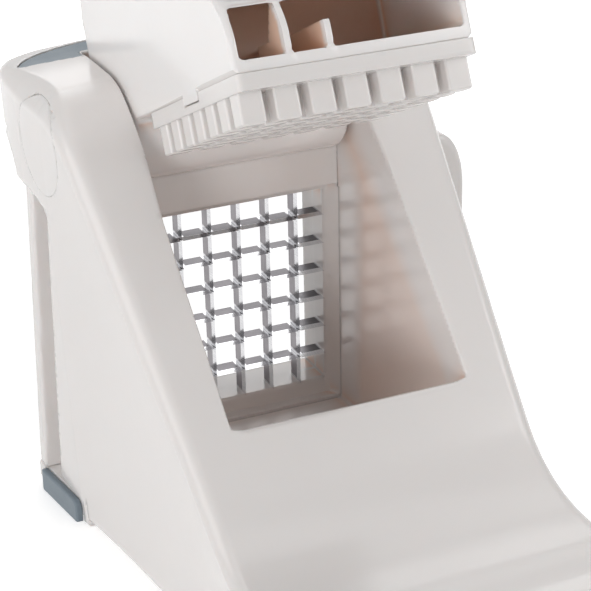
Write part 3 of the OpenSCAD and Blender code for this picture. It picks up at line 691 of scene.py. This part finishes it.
def handleToTable(p):              # (x, depth, height) of the handle to the part's frame
    h = handleShape
    c, k = math.cos(h["lean"]), math.sin(h["lean"])
    s = h["s"] - p[:, 1] * c + p[:, 2] * k
    n = h["n"] + p[:, 1] * k + p[:, 2] * c
    return leverToTable(np.stack([p[:, 0], s, n], 1))


def section(x, a, grow=0.0):       # rounded outline across the handle
    h = handleShape
    return both(np.abs(x) - h["halfWide"] - grow, np.abs(a) - h["halfDeep"] - grow, h["radius"])


def coreSolid(x, a, h):
    v = handleShape
    c, k = math.cos(v["lean"]), math.sin(v["lean"])
    above = a * k + h * c          # height over the lever's top
    column = section(x, a)
    foot = join(column, above, 4.5)
    collar = both(both(foot, column - v["collarOut"], 0.5), np.maximum(-above, h - v["collar"]), 0.5)
    tube = both(section(x, a, v["tube"]), slab(h, 2.0, v["length"] + 1.5), 0.5)
    return cut(np.minimum(collar, tube), both(section(x, a, v["bore"]), 6.0 - h), 0.3)


def gripSolid(x, a, h):
    v = handleShape
    low, high = v["collar"] + v["gap"], v["length"] + 2
    t = np.clip((h - low) / (high - low), 0, 1)
    swell = v["sleeve"] - v["waist"] * (1 - np.sin(math.pi * t) ** 0.8)
    outer = section(x, a, swell)
    sleeve = both(outer, slab(h, low, high), 1.0)
    # shallow rings that the fingers find
    for k in range(v["rings"]):
        off = np.abs(h - (v["ringFrom"] + v["ringPitch"] * k)) - v["ringHalf"]
        sleeve = cut(sleeve, both(off, -outer - v["ringDepth"], 0.5), 0.5)
    return cut(sleeve, section(x, a, v["sleeveIn"]), 0.2)


def endCapSolid(x, a, h):
    v = handleShape
    low = v["length"] + 2 + v["gap"]
    dome = h - low - v["capHeight"] + 0.0055 * (x * x + 1.6 * a * a)
    return both(both(section(x, a, -0.6), dome, 1.6), low - h, 0.3)


core = mould("handleCore", coreSolid, (-21.5, -16, -3.0), (21.5, 16, 114), 1.0, handleToTable)
grip = mould("handleGrip", gripSolid, (-18.7, -12.2, 18), (18.7, 12.2, 114), 0.9, handleToTable)
endCap = mould("handleCap", endCapSolid, (-18.7, -12.2, 114), (18.7, 12.2, 119.2), 0.8, handleToTable)


def newTree(kind, name, inputs, outputs):
    # node tree with named sockets; a socket's kind is written out or told by its first value
    tree = bpy.data.node_groups.new(name, kind)
    for way, sockets in (("INPUT", inputs), ("OUTPUT", outputs)):
        for label, value in sockets.items():
            told = value
            if not isinstance(value, str):
                told = "Float" if isinstance(value, float) else {3: "Vector", 4: "Color"}[len(value)]
            socket = tree.interface.new_socket(label, in_out=way, socket_type="NodeSocket" + told)
            if told != value:
                socket.default_value = value
    return tree, tree.nodes.new("NodeGroupInput").outputs, tree.nodes.new("NodeGroupOutput").inputs


def grower(name, sizes):           # Geometry Nodes tree with a mesh going in and out, and named sizes
    inputs = {"Geometry": "Geometry"} | sizes | {"Finish": "Material"}
    return newTree("GeometryNodeTree", name, inputs, {"Geometry": "Geometry"})


def add(tree, kind, links=None, **settings):
    node = tree.nodes.new(kind)
    for key, value in settings.items():
        setattr(node, key, value)
    for key, value in (links or {}).items():
        socket = node.inputs[key]
        if isinstance(value, bpy.types.NodeSocket):
            tree.links.new(value, socket)
        else:
            socket.default_value = value
    return node


def maths(tree, operation, a, b=0.0):
    return add(tree, "ShaderNodeMath", {0: a, 1: b}, operation=operation).outputs[0]


def sums(tree):                    # short names for the three sums used most
    return [lambda a, b, kind=kind: maths(tree, kind, a, b) for kind in ("MULTIPLY", "ADD", "SUBTRACT")]


def vector(tree, **parts):
    return add(tree, "ShaderNodeCombineXYZ", parts).outputs[0]


def extruded(tree, mesh, length, chosen=None):     # faces drawn out along their normals
    links = {"Mesh": mesh, "Offset Scale": length, "Individual": False}
    if chosen is not None:
        links["Selection"] = chosen
    return add(tree, "GeometryNodeExtrudeMesh", links).outputs


def scaled(tree, step, share):     # the end of a drawn-out face, made smaller or larger
    return add(tree, "GeometryNodeScaleElements", {
        "Geometry": step["Mesh"], "Selection": step["Top"], "Scale": share}).outputs[0]


def joined(tree, *parts):
    node = add(tree, "GeometryNodeJoinGeometry")
    for part in parts:
        tree.links.new(part, node.inputs[0])
    return node.outputs[0]


def scattered(tree, start, piece, spin=None):
    # the piece on every point, turned, then made real, flat shaded and given its finish
    placed = add(tree, "GeometryNodeInstanceOnPoints", {
        "Points": start["Geometry"], "Instance": piece, "Rotation": start["Turn"]}).outputs[0]
    if spin is not None:
        placed = add(tree, "GeometryNodeRotateInstances", {
            "Instances": placed, "Rotation": spin, "Local Space": True}).outputs[0]
    real = add(tree, "GeometryNodeRealizeInstances", {0: placed}).outputs[0]
    flat = add(tree, "GeometryNodeSetShadeSmooth", {"Geometry": real, "Shade Smooth": False}).outputs[0]
    return add(tree, "GeometryNodeSetMaterial", {"Geometry": flat, "Material": start["Finish"]}).outputs[0]


def grown(name, tree, points, sizes, finish):
    # runs a tree on a few loose points and keeps the result as a plain mesh
    seed = bpy.data.meshes.new(name + "Points")
    seed.from_pydata([tuple(p) for p in points], [], [])
    carrier = bpy.data.objects.new(name + "Points", seed)
    bpy.context.scene.collection.objects.link(carrier)
    modifier = carrier.modifiers.new("grow", "NODES")
    modifier.node_group = tree
    values = sizes | {"Finish": finish}
    for item in tree.interface.items_tree:
        if item.item_type == "SOCKET" and item.in_out == "INPUT" and item.name in values:
            modifier[item.identifier] = values[item.name]
    ready = carrier.evaluated_get(bpy.context.evaluated_depsgraph_get())
    mesh = bpy.data.meshes.new_from_object(ready)
    bpy.data.objects.remove(carrier)
    mesh.name = name
    piece = bpy.data.objects.new(name, mesh)
    bpy.context.scene.collection.objects.link(piece)
    print("grown", name, len(mesh.polygons), "faces")
    return piece


# a screw: domed head with a cross recess, and its shank;
# radius and height of the head, radius and length of the shank in millimetres
screwSizes = dict(baseScrews=(2.9, 1.0, 1.45, 11.0), cassetteScrews=(2.0, 1.0, 0.95, 6.0),
                  pusherScrews=(2.8, 1.4, 1.15, 6.0))
screwLook = dict(rimShare=0.45, dome=((0.55, 0.86), (0.3, 0.78), (0.15, 0.55)), recessWidth=0.17,
                 recessLength=1.15, recessDepth=1.1)


def screwTree():
    tree, g, end = grower("screwPattern", {
        "Head Radius": 0.0028, "Head Height": 0.0014, "Shank Radius": 0.0012, "Shank Length": 0.006,
        "Recess": 0.00045, "Turn": (0.0, 0.0, 0.0), "Spin Seed": 4.0})
    times, _, less = sums(tree)

    def moved(geometry, **links):
        return add(tree, "GeometryNodeTransform", {"Geometry": geometry} | links).outputs[0]

    rimHeight = times(g["Head Height"], screwLook["rimShare"])
    rim = add(tree, "GeometryNodeMeshCylinder", {
        "Vertices": 28, "Radius": g["Head Radius"], "Depth": rimHeight})
    solid = moved(rim.outputs["Mesh"], Translation=vector(tree, Z=times(rimHeight, 0.5)))
    top = add(tree, "GeometryNodeInputNormal").outputs["Normal"]
    up = add(tree, "ShaderNodeSeparateXYZ", {0: top}).outputs["Z"]
    chosen = add(tree, "FunctionNodeCompare", {0: up, 1: 0.9}, operation="GREATER_THAN").outputs[0]
    left = less(g["Head Height"], rimHeight)
    for share, shrink in screwLook["dome"]:
        step = extruded(tree, solid, times(left, share), chosen)
        solid, chosen = scaled(tree, step, shrink), step["Top"]
    size = vector(tree, X=times(g["Head Radius"], screwLook["recessLength"]), Y=g["Recess"],
                  Z=times(g["Head Height"], screwLook["recessDepth"]))
    bar = add(tree, "GeometryNodeMeshCube", {"Size": size}).outputs[0]
    headed = add(tree, "GeometryNodeMeshBoolean", {"Mesh 1": solid}, operation="DIFFERENCE")
    for turn in (0.0, math.pi / 2):
        crossbar = moved(bar, Translation=vector(tree, Z=g["Head Height"]), Rotation=(0, 0, turn))
        tree.links.new(crossbar, headed.inputs["Mesh 2"])
    rod = add(tree, "GeometryNodeMeshCylinder", {
        "Vertices": 16, "Radius": g["Shank Radius"], "Depth": g["Shank Length"]})
    shank = moved(rod.outputs["Mesh"], Translation=vector(tree, Z=times(g["Shank Length"], -0.5)))
    screw = joined(tree, headed.outputs["Mesh"], shank)
    seed = add(tree, "FunctionNodeFloatToInt", {0: g["Spin Seed"]}).outputs[0]
    spin = add(tree, "FunctionNodeRandomValue", {"Seed": seed}, data_type="FLOAT")
    spin.inputs[3].default_value = math.pi
    tree.links.new(scattered(tree, g, screw, vector(tree, Z=spin.outputs[1])), end[0])
    return tree


def screws(name, points, turn, finish, seed):
    labels = ("Head Radius", "Head Height", "Shank Radius", "Shank Length")
    sizes = {label: size / 1000 for label, size in zip(labels, screwSizes[name])}
    sizes |= {"Recess": sizes["Head Radius"] * screwLook["recessWidth"], "Turn": turn,
              "Spin Seed": float(seed)}
    return grown(name, screwTree(), points, sizes, finish)


def pegTree():                     # rounded rectangles drawn out and chamfered at the end
    tree, g, end = grower("pegPattern", {
        "Wide": 0.007, "Tall": 0.0064, "Length": 0.0086, "Corner": 0.0007, "Chamfer": 0.0005,
        "Turn": (0.0, 0.0, 0.0)})
    times, _, less = sums(tree)
    shape = add(tree, "GeometryNodeCurvePrimitiveQuadrilateral", {"Width": g["Wide"], "Height": g["Tall"]})
    rounded = add(tree, "GeometryNodeFilletCurve", {
        "Curve": shape.outputs[0], "Radius": g["Corner"], "Count": 3}, mode="POLY")
    face = add(tree, "GeometryNodeFillCurve", {"Curve": rounded.outputs[0]}, mode="NGONS").outputs[0]
    shank = extruded(tree, face, less(g["Length"], g["Chamfer"]))
    tip = extruded(tree, shank["Mesh"], g["Chamfer"], shank["Top"])
    narrowed = maths(tree, "DIVIDE", less(g["Wide"], times(g["Chamfer"], 2.0)), g["Wide"])
    narrow = scaled(tree, tip, narrowed)
    root = add(tree, "GeometryNodeFlipFaces", {"Mesh": face}).outputs[0]
    whole = add(tree, "GeometryNodeMergeByDistance", {
        "Geometry": joined(tree, narrow, root), "Distance": 1e-6})
    tree.links.new(scattered(tree, g, whole.outputs[0]), end[0])
    return tree


def surfaceGroup(name, inputs):    # shader node group that gives a colour, a roughness and a height
    outputs = {"Colour": "Color", "Roughness": "Float", "Height": "Float"}
    return newTree("ShaderNodeTree", name, inputs, outputs)


def ranged(tree, value, low, high, to=(0.0, 1.0)):
    links = {0: value, 1: low, 2: high, 3: to[0], 4: to[1]}
    return add(tree, "ShaderNodeMapRange", links, interpolation_type="SMOOTHSTEP").outputs[0]


def mixed(tree, factor, a, b, way="MIX"):
    node = add(tree, "ShaderNodeMix", data_type="RGBA", blend_type=way)
    for socket, value in ((node.inputs[0], factor), (node.inputs[6], a), (node.inputs[7], b)):
        if isinstance(value, bpy.types.NodeSocket):
            tree.links.new(value, socket)
        else:
            socket.default_value = value
    return node.outputs[2]


def noise(tree, place, scale, detail=2.0, rough=0.5):
    return add(tree, "ShaderNodeTexNoise", {
        "Vector": place, "Scale": scale, "Detail": detail, "Roughness": rough}).outputs[0]


def wired(tree, sockets, **values):    # joins each value to the socket of its name
    for label, value in values.items():
        tree.links.new(value, sockets[label])


def mouldedGroup():                # moulded plastic or rubber: painted shade in hollows, tone, handling marks, grain
    group, g, out = surfaceGroup("mouldedSurface", {
        "Colour": (0.8, 0.8, 0.8, 1), "Enclosed Colour": (0.6, 0.5, 0.4, 1),
        "Deep Colour": (0.5, 0.3, 0.2, 1), "Enclosed Amount": 0.5, "Tone Variation": 0.03,
        "Edge Wear": 0.1, "Roughness": 0.3, "Smudges": 0.08, "Grain Scale": 900.0, "Grain": 0.2,
        "Scratches": 0.3})
    times, plus, less = sums(group)
    place = add(group, "ShaderNodeTexCoord").outputs["Object"]
    paintedShade, edge = (add(group, "ShaderNodeAttribute", attribute_name=name).outputs["Fac"]
                      for name in ("paintedShade", "edge"))
    # painted shade in hollows, warm like the light that comes through the plastic and bounces round it
    paintedShadeShare = times(ranged(group, paintedShade, 0.3, 1.0), g["Enclosed Amount"])
    # the painted shade colour, deeper still in the deepest hollows
    inner = mixed(group, ranged(group, paintedShade, 0.72, 1.0), g["Enclosed Colour"], g["Deep Colour"])
    shaded = mixed(group, paintedShadeShare, g["Colour"], inner)
    lighter = plus(times(less(noise(group, place, 26.0, 3.0), 0.5), g["Tone Variation"]), 1.0)
    grey = add(group, "ShaderNodeCombineColor", {0: lighter, 1: lighter, 2: lighter}).outputs[0]
    toned = mixed(group, 1.0, shaded, grey, "MULTIPLY")
    worn = times(g["Edge Wear"], noise(group, place, 210.0, 3.0))
    colour = mixed(group, times(ranged(group, edge, 0.35, 0.9), worn), toned, (1, 1, 1, 1))
    # fine lines from handling
    turned = add(group, "ShaderNodeMapping", {
        "Vector": place, "Rotation": (0.5, 0.3, 0.9), "Scale": (90.0, 5200.0, 5200.0)}).outputs[0]
    scratches = times(ranged(group, noise(group, turned, 1.0, 1.0), 0.66, 0.74), g["Scratches"])
    smudge = ranged(group, noise(group, place, 34.0, 4.0, 0.6), 0.42, 0.72)
    rough = plus(g["Roughness"], times(g["Smudges"], less(smudge, 0.4)))
    rough = plus(rough, times(less(noise(group, place, 320.0), 0.5), 0.05))
    rough = plus(rough, times(scratches, 0.3))
    pebbles = add(group, "ShaderNodeTexVoronoi", {
        "Vector": place, "Scale": g["Grain Scale"], "Randomness": 0.9}).outputs["Distance"]
    height = plus(times(pebbles, g["Grain"]), times(noise(group, place, 420.0), 0.2))
    wired(group, out, Colour=colour, Roughness=rough, Height=less(height, scratches))
    return group


def brushedGroup():                # ground or plated metal: lines along one direction, tarnish, marks
    group, g, out = surfaceGroup("brushedMetal", {
        "Colour": (0.6, 0.6, 0.6, 1), "Dark Colour": (0.4, 0.4, 0.4, 1), "Stretch": (1.0, 40.0, 40.0),
        "Line Scale": 60.0, "Roughness": 0.3, "Line Depth": 0.4})
    times, plus, less = sums(group)
    place = add(group, "ShaderNodeTexCoord").outputs["Object"]
    drawn = add(group, "ShaderNodeVectorMath", {0: place, 1: g["Stretch"]}, operation="MULTIPLY").outputs[0]
    lines = noise(group, drawn, g["Line Scale"], 4.0, 0.65)
    tarnish = noise(group, place, 70.0, 4.0, 0.6)
    marks = plus(times(lines, 0.6), times(tarnish, 0.4))
    colour = mixed(group, ranged(group, marks, 0.35, 0.65), g["Dark Colour"], g["Colour"])
    rough = plus(g["Roughness"], times(less(lines, 0.5), 0.22))
    wired(group, out, Colour=colour, Roughness=rough, Height=times(lines, g["Line Depth"]))
    return group


def srgb(*levels):                 # a colour as it is mixed for paint, 0 to 255
    shares = (v / 255 for v in levels)
    return tuple(v / 12.92 if v <= 0.04045 else ((v + 0.055) / 1.055) ** 2.4 for v in shares) + (1.0,)


moulded, brushed = mouldedGroup(), brushedGroup()


def finishOf(name, group, values, bump, **sockets):
    material = bpy.data.materials.new(name)
    material.use_nodes = True
    tree = material.node_tree
    shader = tree.nodes["Principled BSDF"]
    surface = add(tree, "ShaderNodeGroup", node_tree=group)
    for key, value in values.items():
        surface.inputs[key].default_value = value
    for key, value in sockets.items():
        shader.inputs[key.replace("_", " ")].default_value = value
    relief = add(tree, "ShaderNodeBump", {
        "Height": surface.outputs["Height"], "Distance": bump, "Strength": 1.0})
    wired(tree, shader.inputs, **{
        "Base Color": surface.outputs["Colour"], "Roughness": surface.outputs["Roughness"],
        "Normal": relief.outputs[0]})
    return material


# the lever's walls are thin and let more light through, and its white is toned lighter than the body's as
# painted light; the inside and deep tones are painted shade for hollows
plastics = dict(
    glossyWhite=dict(tone=(238, 234, 232), inside=(242, 214, 198), deepShade=(240, 208, 190), bump=0.00002),
    litThinWhite=dict(tone=(253, 248, 246), inside=(242, 214, 198), deepShade=(255, 212, 186), bump=0.00002),
    slateRubber=dict(tone=(118, 131, 141), inside=(60, 68, 78), deepShade=(60, 68, 78), bump=0.00005),
    soleRubber=dict(tone=(84, 94, 104), inside=(50, 56, 64), deepShade=(50, 56, 64), bump=0.00006),
    bearingPlastic=dict(tone=(150, 154, 160), inside=(120, 122, 126), deepShade=(120, 122, 126), bump=0.00004))
glossy = {"Enclosed Amount": 0.9, "Tone Variation": 0.012, "Edge Wear": 0.1, "Roughness": 0.19,
          "Smudges": 0.05, "Grain Scale": 900.0, "Grain": 0.0, "Scratches": 0.1}
milky = dict(Coat_Weight=0.05, Coat_Roughness=0.12)


def plastic(name, values, **sockets):
    p = plastics[name]
    colours = {"Colour": srgb(*p["tone"]), "Enclosed Colour": srgb(*p["inside"]),
               "Deep Colour": srgb(*p["deepShade"])}
    return finishOf(name, moulded, values | colours, p["bump"], **sockets)


glossyWhite = plastic("glossyWhite", glossy, Subsurface_Weight=0.2, Subsurface_Radius=(1.0, 0.8, 0.7),
                      Subsurface_Scale=0.003, **milky)
# the lever's white: more subsurface for its thin walls, and a lighter tone than glossyWhite as painted light
litThinWhite = plastic("litThinWhite", glossy, Subsurface_Weight=0.3, Subsurface_Radius=(1.0, 0.8, 0.74),
                    Subsurface_Scale=0.004, **milky)
slateRubber = plastic("slateRubber", {
    "Enclosed Amount": 0.4, "Tone Variation": 0.08, "Edge Wear": 0.06, "Roughness": 0.5, "Smudges": 0.14,
    "Grain Scale": 2300.0, "Grain": 0.5, "Scratches": 0.2})
soleRubber = plastic("soleRubber", {
    "Enclosed Amount": 0.4, "Tone Variation": 0.1, "Edge Wear": 0.05, "Roughness": 0.62, "Smudges": 0.12,
    "Grain Scale": 1900.0, "Grain": 0.8, "Scratches": 0.2})
bearingPlastic = plastic("bearingPlastic", {
    "Enclosed Amount": 0.3, "Tone Variation": 0.05, "Edge Wear": 0.05, "Roughness": 0.42, "Smudges": 0.1,
    "Grain Scale": 1500.0, "Grain": 0.2, "Scratches": 0.4})

# blade flats: brushed steel toned darker than the steel is, painted reflection of dark surroundings; the
# level blades darker still, painted shade on their tops
metalTones = dict(zinc=((200, 202, 206), (150, 152, 158)), turned=((196, 198, 202), (150, 152, 156)),
                  upright=((150, 146, 150), (118, 114, 118)), level=((112, 109, 112), (86, 84, 87)),
                  bevel=((236, 236, 238), (205, 205, 208)))


def metalValues(tone, stretch, lines, rough, depth):
    pale, dark = metalTones[tone]
    return {"Colour": srgb(*pale), "Dark Colour": srgb(*dark), "Stretch": stretch, "Line Scale": lines,
            "Roughness": rough, "Line Depth": depth}


def metal(name, *values):
    return finishOf(name, brushed, metalValues(*values), 0.00002, Metallic=1.0)


zincPlate = metal("zincPlate", "zinc", (1.0, 1.0, 1.0), 900.0, 0.34, 0.3)
turnedSteel = metal("turnedSteel", "turned", (40.0, 1.0, 1.0), 90.0, 0.26, 0.3)
bladeShape = dict(bevelFrom=0.0021, bevelTo=0.00235, glintIn=0.0011, glintOut=0.0018)


def bladeFinish(way, stretch, across, axis, middle):
    # dull flats with lines along the blade, and a bright ground bevel with lines across it;
    # the steel gets a painted highlight round each crossing
    material = metal(way + "Steel", way, stretch, 60.0, 0.34, 0.5)
    tree = material.node_tree
    shader = tree.nodes["Principled BSDF"]
    flat = next(n for n in tree.nodes if n.type == "GROUP").outputs
    ground = add(tree, "ShaderNodeGroup", node_tree=brushed)
    for key, value in metalValues("bevel", across, 110.0, 0.2, 0.4).items():
        ground.inputs[key].default_value = value
    b = bladeShape
    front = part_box("upright_blades")[0].y
    place = add(tree, "ShaderNodeSeparateXYZ", {0: add(tree, "ShaderNodeTexCoord").outputs["Object"]}).outputs
    bevel = ranged(tree, place["Y"], front + b["bevelTo"], front + b["bevelFrom"])
    half = pusherShape["pitch"] / 2000
    along = maths(tree, "SUBTRACT", place[axis], middle + half)
    offset = add(tree, "ShaderNodeMath", {0: along, 1: half, 2: -half}, operation="WRAP").outputs[0]
    # painted highlight, brightest where the blades cross
    paintedCrossingGlint = ranged(tree, maths(tree, "ABSOLUTE", offset), b["glintOut"], b["glintIn"])
    bright = maths(tree, "MAXIMUM", bevel, paintedCrossingGlint)
    colour = mixed(tree, bright, flat["Colour"], ground.outputs["Colour"])
    rough = add(tree, "ShaderNodeMix", {0: bright, 2: flat["Roughness"], 3: ground.outputs["Roughness"]})
    wired(tree, shader.inputs, **{"Base Color": colour, "Roughness": rough.outputs[0]})
    return material


uprightSteel = bladeFinish("upright", (40.0, 40.0, 1.0), (1.0, 1.0, 60.0), "Z", gridPlace[2] / 1000)
levelSteel = bladeFinish("level", (1.0, 40.0, 40.0), (60.0, 1.0, 1.0), "X", gridPlace[0] / 1000)

baseSpots = np.array([(x, y, baseShape["top"] - 1.8) for x, y in baseScrews])
seat = cassetteShape["seam"] + cassetteShape["gap"] + cassetteShape["flange"]
cassetteSpots = np.array([(i * cassetteShape["screwX"], seat, k * cassetteShape["screwZ"])
                          for i in (-1, 1) for k in (-1, 1)])
pusherSpots = np.array([(x, s, leverShape["floorTop"]) for x in (-27.0, 27.0) for s in (42.0, 90.0)])
baseFixings = screws("baseScrews", toTable(baseSpots), (math.pi, 0, 0), zincPlate, 4)
cassetteFixings = screws("cassetteScrews", toTable(cassetteSpots), (-math.pi / 2, 0, 0), zincPlate, 7)
pusherFixings = screws("pusherScrews", leverToTable(pusherSpots), (-leverTilt, 0, 0), zincPlate, 9)


def pegGrid():                     # the pegs' roots and sizes, one peg for each opening of the grid
    p = pusherShape
    offsets = [(k - (p["cells"] - 1) / 2) * p["pitch"] for k in range(p["cells"])]
    roots = leverToTable(np.array([(x, p["middle"] + s, p["pegRoot"]) for x in offsets for s in offsets]))
    return roots, {"Wide": p["pegWide"] / 1000, "Tall": p["pegTall"] / 1000, "Length": p["pegLength"] / 1000,
                   "Turn": (math.pi - leverTilt, 0.0, 0.0)}


pegs = grown("pusherPegs", pegTree(), *pegGrid(), glossyWhite)

# for each body: piece, the node that it stands for, finish
pieceTable = dict(
    tower=[(tower, "body_shell", glossyWhite), (throat, "throat_frame", glossyWhite),
           (gateway, "rear_frame", glossyWhite), (base, "base_plate", glossyWhite),
           (rails, "slide_rails", glossyWhite), (leftCap, "left_cap", glossyWhite),
           (rightCap, "right_cap", glossyWhite), (pad, "head_pad", slateRubber),
           (leftFoot, "left_rear_foot", slateRubber), (rightFoot, "right_rear_foot", slateRubber),
           (feet, "front_feet", soleRubber), (baseFixings, "base_screws", zincPlate)],
    cassette=[(holder, "cassette_holder", glossyWhite), (cassetteBack, "cassette_back", glossyWhite),
              (cassetteFixings, "cassette_screws", zincPlate)],
    lever=[(lever, "lever_shell", litThinWhite), (flange, "pusher_plate", glossyWhite),
           (pegs, "pusher_plate", glossyWhite), (pusherFixings, "pusher_screws", zincPlate),
           (core, "handle_core", glossyWhite), (grip, "handle_grip", slateRubber),
           (endCap, "handle_cap", slateRubber)])
for body, rows in pieceTable.items():
    for piece, node, finish in rows:
        if not piece.data.materials:   # what a tree has grown has its finish already
            piece.data.materials.append(finish)
        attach(piece, body)
        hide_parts(node)
shownNodes = dict(upright_blades=uprightSteel, level_blades=levelSteel, pivot_axle=turnedSteel,
                  left_washer=turnedSteel, right_washer=turnedSteel, left_bush=bearingPlastic,
                  right_bush=bearingPlastic)
for node, finish in shownNodes.items():
    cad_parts[node].data.materials.clear()
    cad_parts[node].data.materials.append(finish)
print("pieces ride on their bodies")

view = dict(turn=23.667, fall=24.628, roll=-1.2454, lens=121.65, place=(-0.2158, -0.4840, 0.3367))


def addCamera():
    a, e, roll = (math.radians(view[k]) for k in ("turn", "fall", "roll"))
    ahead = np.array([math.sin(a) * math.cos(e), math.cos(a) * math.cos(e), -math.sin(e)])
    right = np.array([math.cos(a), -math.sin(a), 0.0])
    up = np.cross(right, ahead)
    c, s = math.cos(roll), math.sin(roll)
    right, up = c * right + s * up, c * up - s * right
    camera = bpy.data.objects.new("camera", bpy.data.cameras.new("camera"))
    turn = Matrix([[right[k], up[k], -ahead[k]] for k in range(3)]).to_4x4()
    camera.matrix_world = Matrix.Translation(view["place"]) @ turn
    camera.data.lens = view["lens"]
    camera.data.sensor_width = 36
    camera.data.clip_start = 0.01
    bpy.context.scene.collection.objects.link(camera)
    bpy.context.scene.camera = camera


addCamera()
bpy.context.scene.view_settings.view_transform = "Standard"

# watts, size, place and what it looks at
lamps = dict(
    sideLamp=(1.55, 0.5, (-0.62, -0.02, 0.42), (0, 0, 0.12)),
    topLamp=(3.3, 1.2, (0.2, 0.3, 1.5), (0, 0, 0.08)),
    frontLamp=(5.2, 0.4, (-0.92, -1.17, 0.21), (0, 0, 0.10)),
    backLamp=(4.0, 0.9, (0.5, 1.2, 1.0), (0, 0, 0.08)),
    rightLamp=(1.05, 0.35, (0.42, -0.35, 0.40), (0.03, 0, 0.08)))


def addLamps():
    for name, (power, size, place, target) in lamps.items():
        lamp = bpy.data.lights.new(name, "AREA")
        lamp.energy, lamp.shape, lamp.size = power, "SQUARE", size
        holder = bpy.data.objects.new(name, lamp)
        holder.location = place
        holder.rotation_euler = (Vector(target) - Vector(place)).to_track_quat("-Z", "Y").to_euler()
        bpy.context.scene.collection.objects.link(holder)


addLamps()


def seenDirectly(tree):            # 1 for the camera and for mirrored or refracted sight of the background
    path = add(tree, "ShaderNodeLightPath").outputs
    direct = maths(tree, "MAXIMUM", path["Is Camera Ray"], path["Is Glossy Ray"])
    return maths(tree, "MAXIMUM", direct, path["Is Transmission Ray"])


studio = dict(ambient=0.2, ambientColour=(1.0, 0.985, 0.97, 1), floorGrey=0.86, floorHalf=4, floorLift=0.5,
              fadeFrom=0.25, fadeTo=0.8)


def addWorld():
    world = bpy.data.worlds.new("studio")
    bpy.context.scene.world = world
    world.use_nodes = True
    tree = world.node_tree
    back = tree.nodes["Background"]
    direct = seenDirectly(tree)
    tree.links.new(mixed(tree, direct, studio["ambientColour"], (1, 1, 1, 1)), back.inputs["Color"])
    tree.links.new(ranged(tree, direct, 0.0, 1.0, (studio["ambient"], 1.0)), back.inputs["Strength"])


def addFloor():
    mesh = bpy.data.meshes.new("floor")
    h = studio["floorHalf"]
    mesh.from_pydata([(-h, -h, 0), (h, -h, 0), (h, h, 0), (-h, h, 0)], [], [(0, 1, 2, 3)])
    floor = bpy.data.objects.new("floor", mesh)
    bpy.context.scene.collection.objects.link(floor)
    material = bpy.data.materials.new("paleTable")
    material.use_nodes = True
    tree = material.node_tree
    shader = tree.nodes["Principled BSDF"]
    grey = studio["floorGrey"]
    shader.inputs["Base Color"].default_value = (grey, grey, grey, 1)
    shader.inputs["Roughness"].default_value = 0.6
    shader.inputs["Specular IOR Level"].default_value = 0.2
    glow = add(tree, "ShaderNodeEmission", {"Color": (1, 1, 1, 1)})
    # the table fades into the white background away from the object
    place = add(tree, "ShaderNodeTexCoord").outputs["Object"]
    away = add(tree, "ShaderNodeVectorMath", {0: place}, operation="LENGTH").outputs["Value"]
    lift = ranged(tree, away, studio["fadeFrom"], studio["fadeTo"], (studio["floorLift"], 1.0))
    tree.links.new(maths(tree, "MULTIPLY", seenDirectly(tree), lift), glow.inputs["Strength"])
    total = add(tree, "ShaderNodeAddShader", {0: shader.outputs[0], 1: glow.outputs[0]})
    tree.links.new(total.outputs[0], tree.nodes["Material Output"].inputs["Surface"])
    mesh.materials.append(material)


addWorld()
addFloor()
print("stage set")
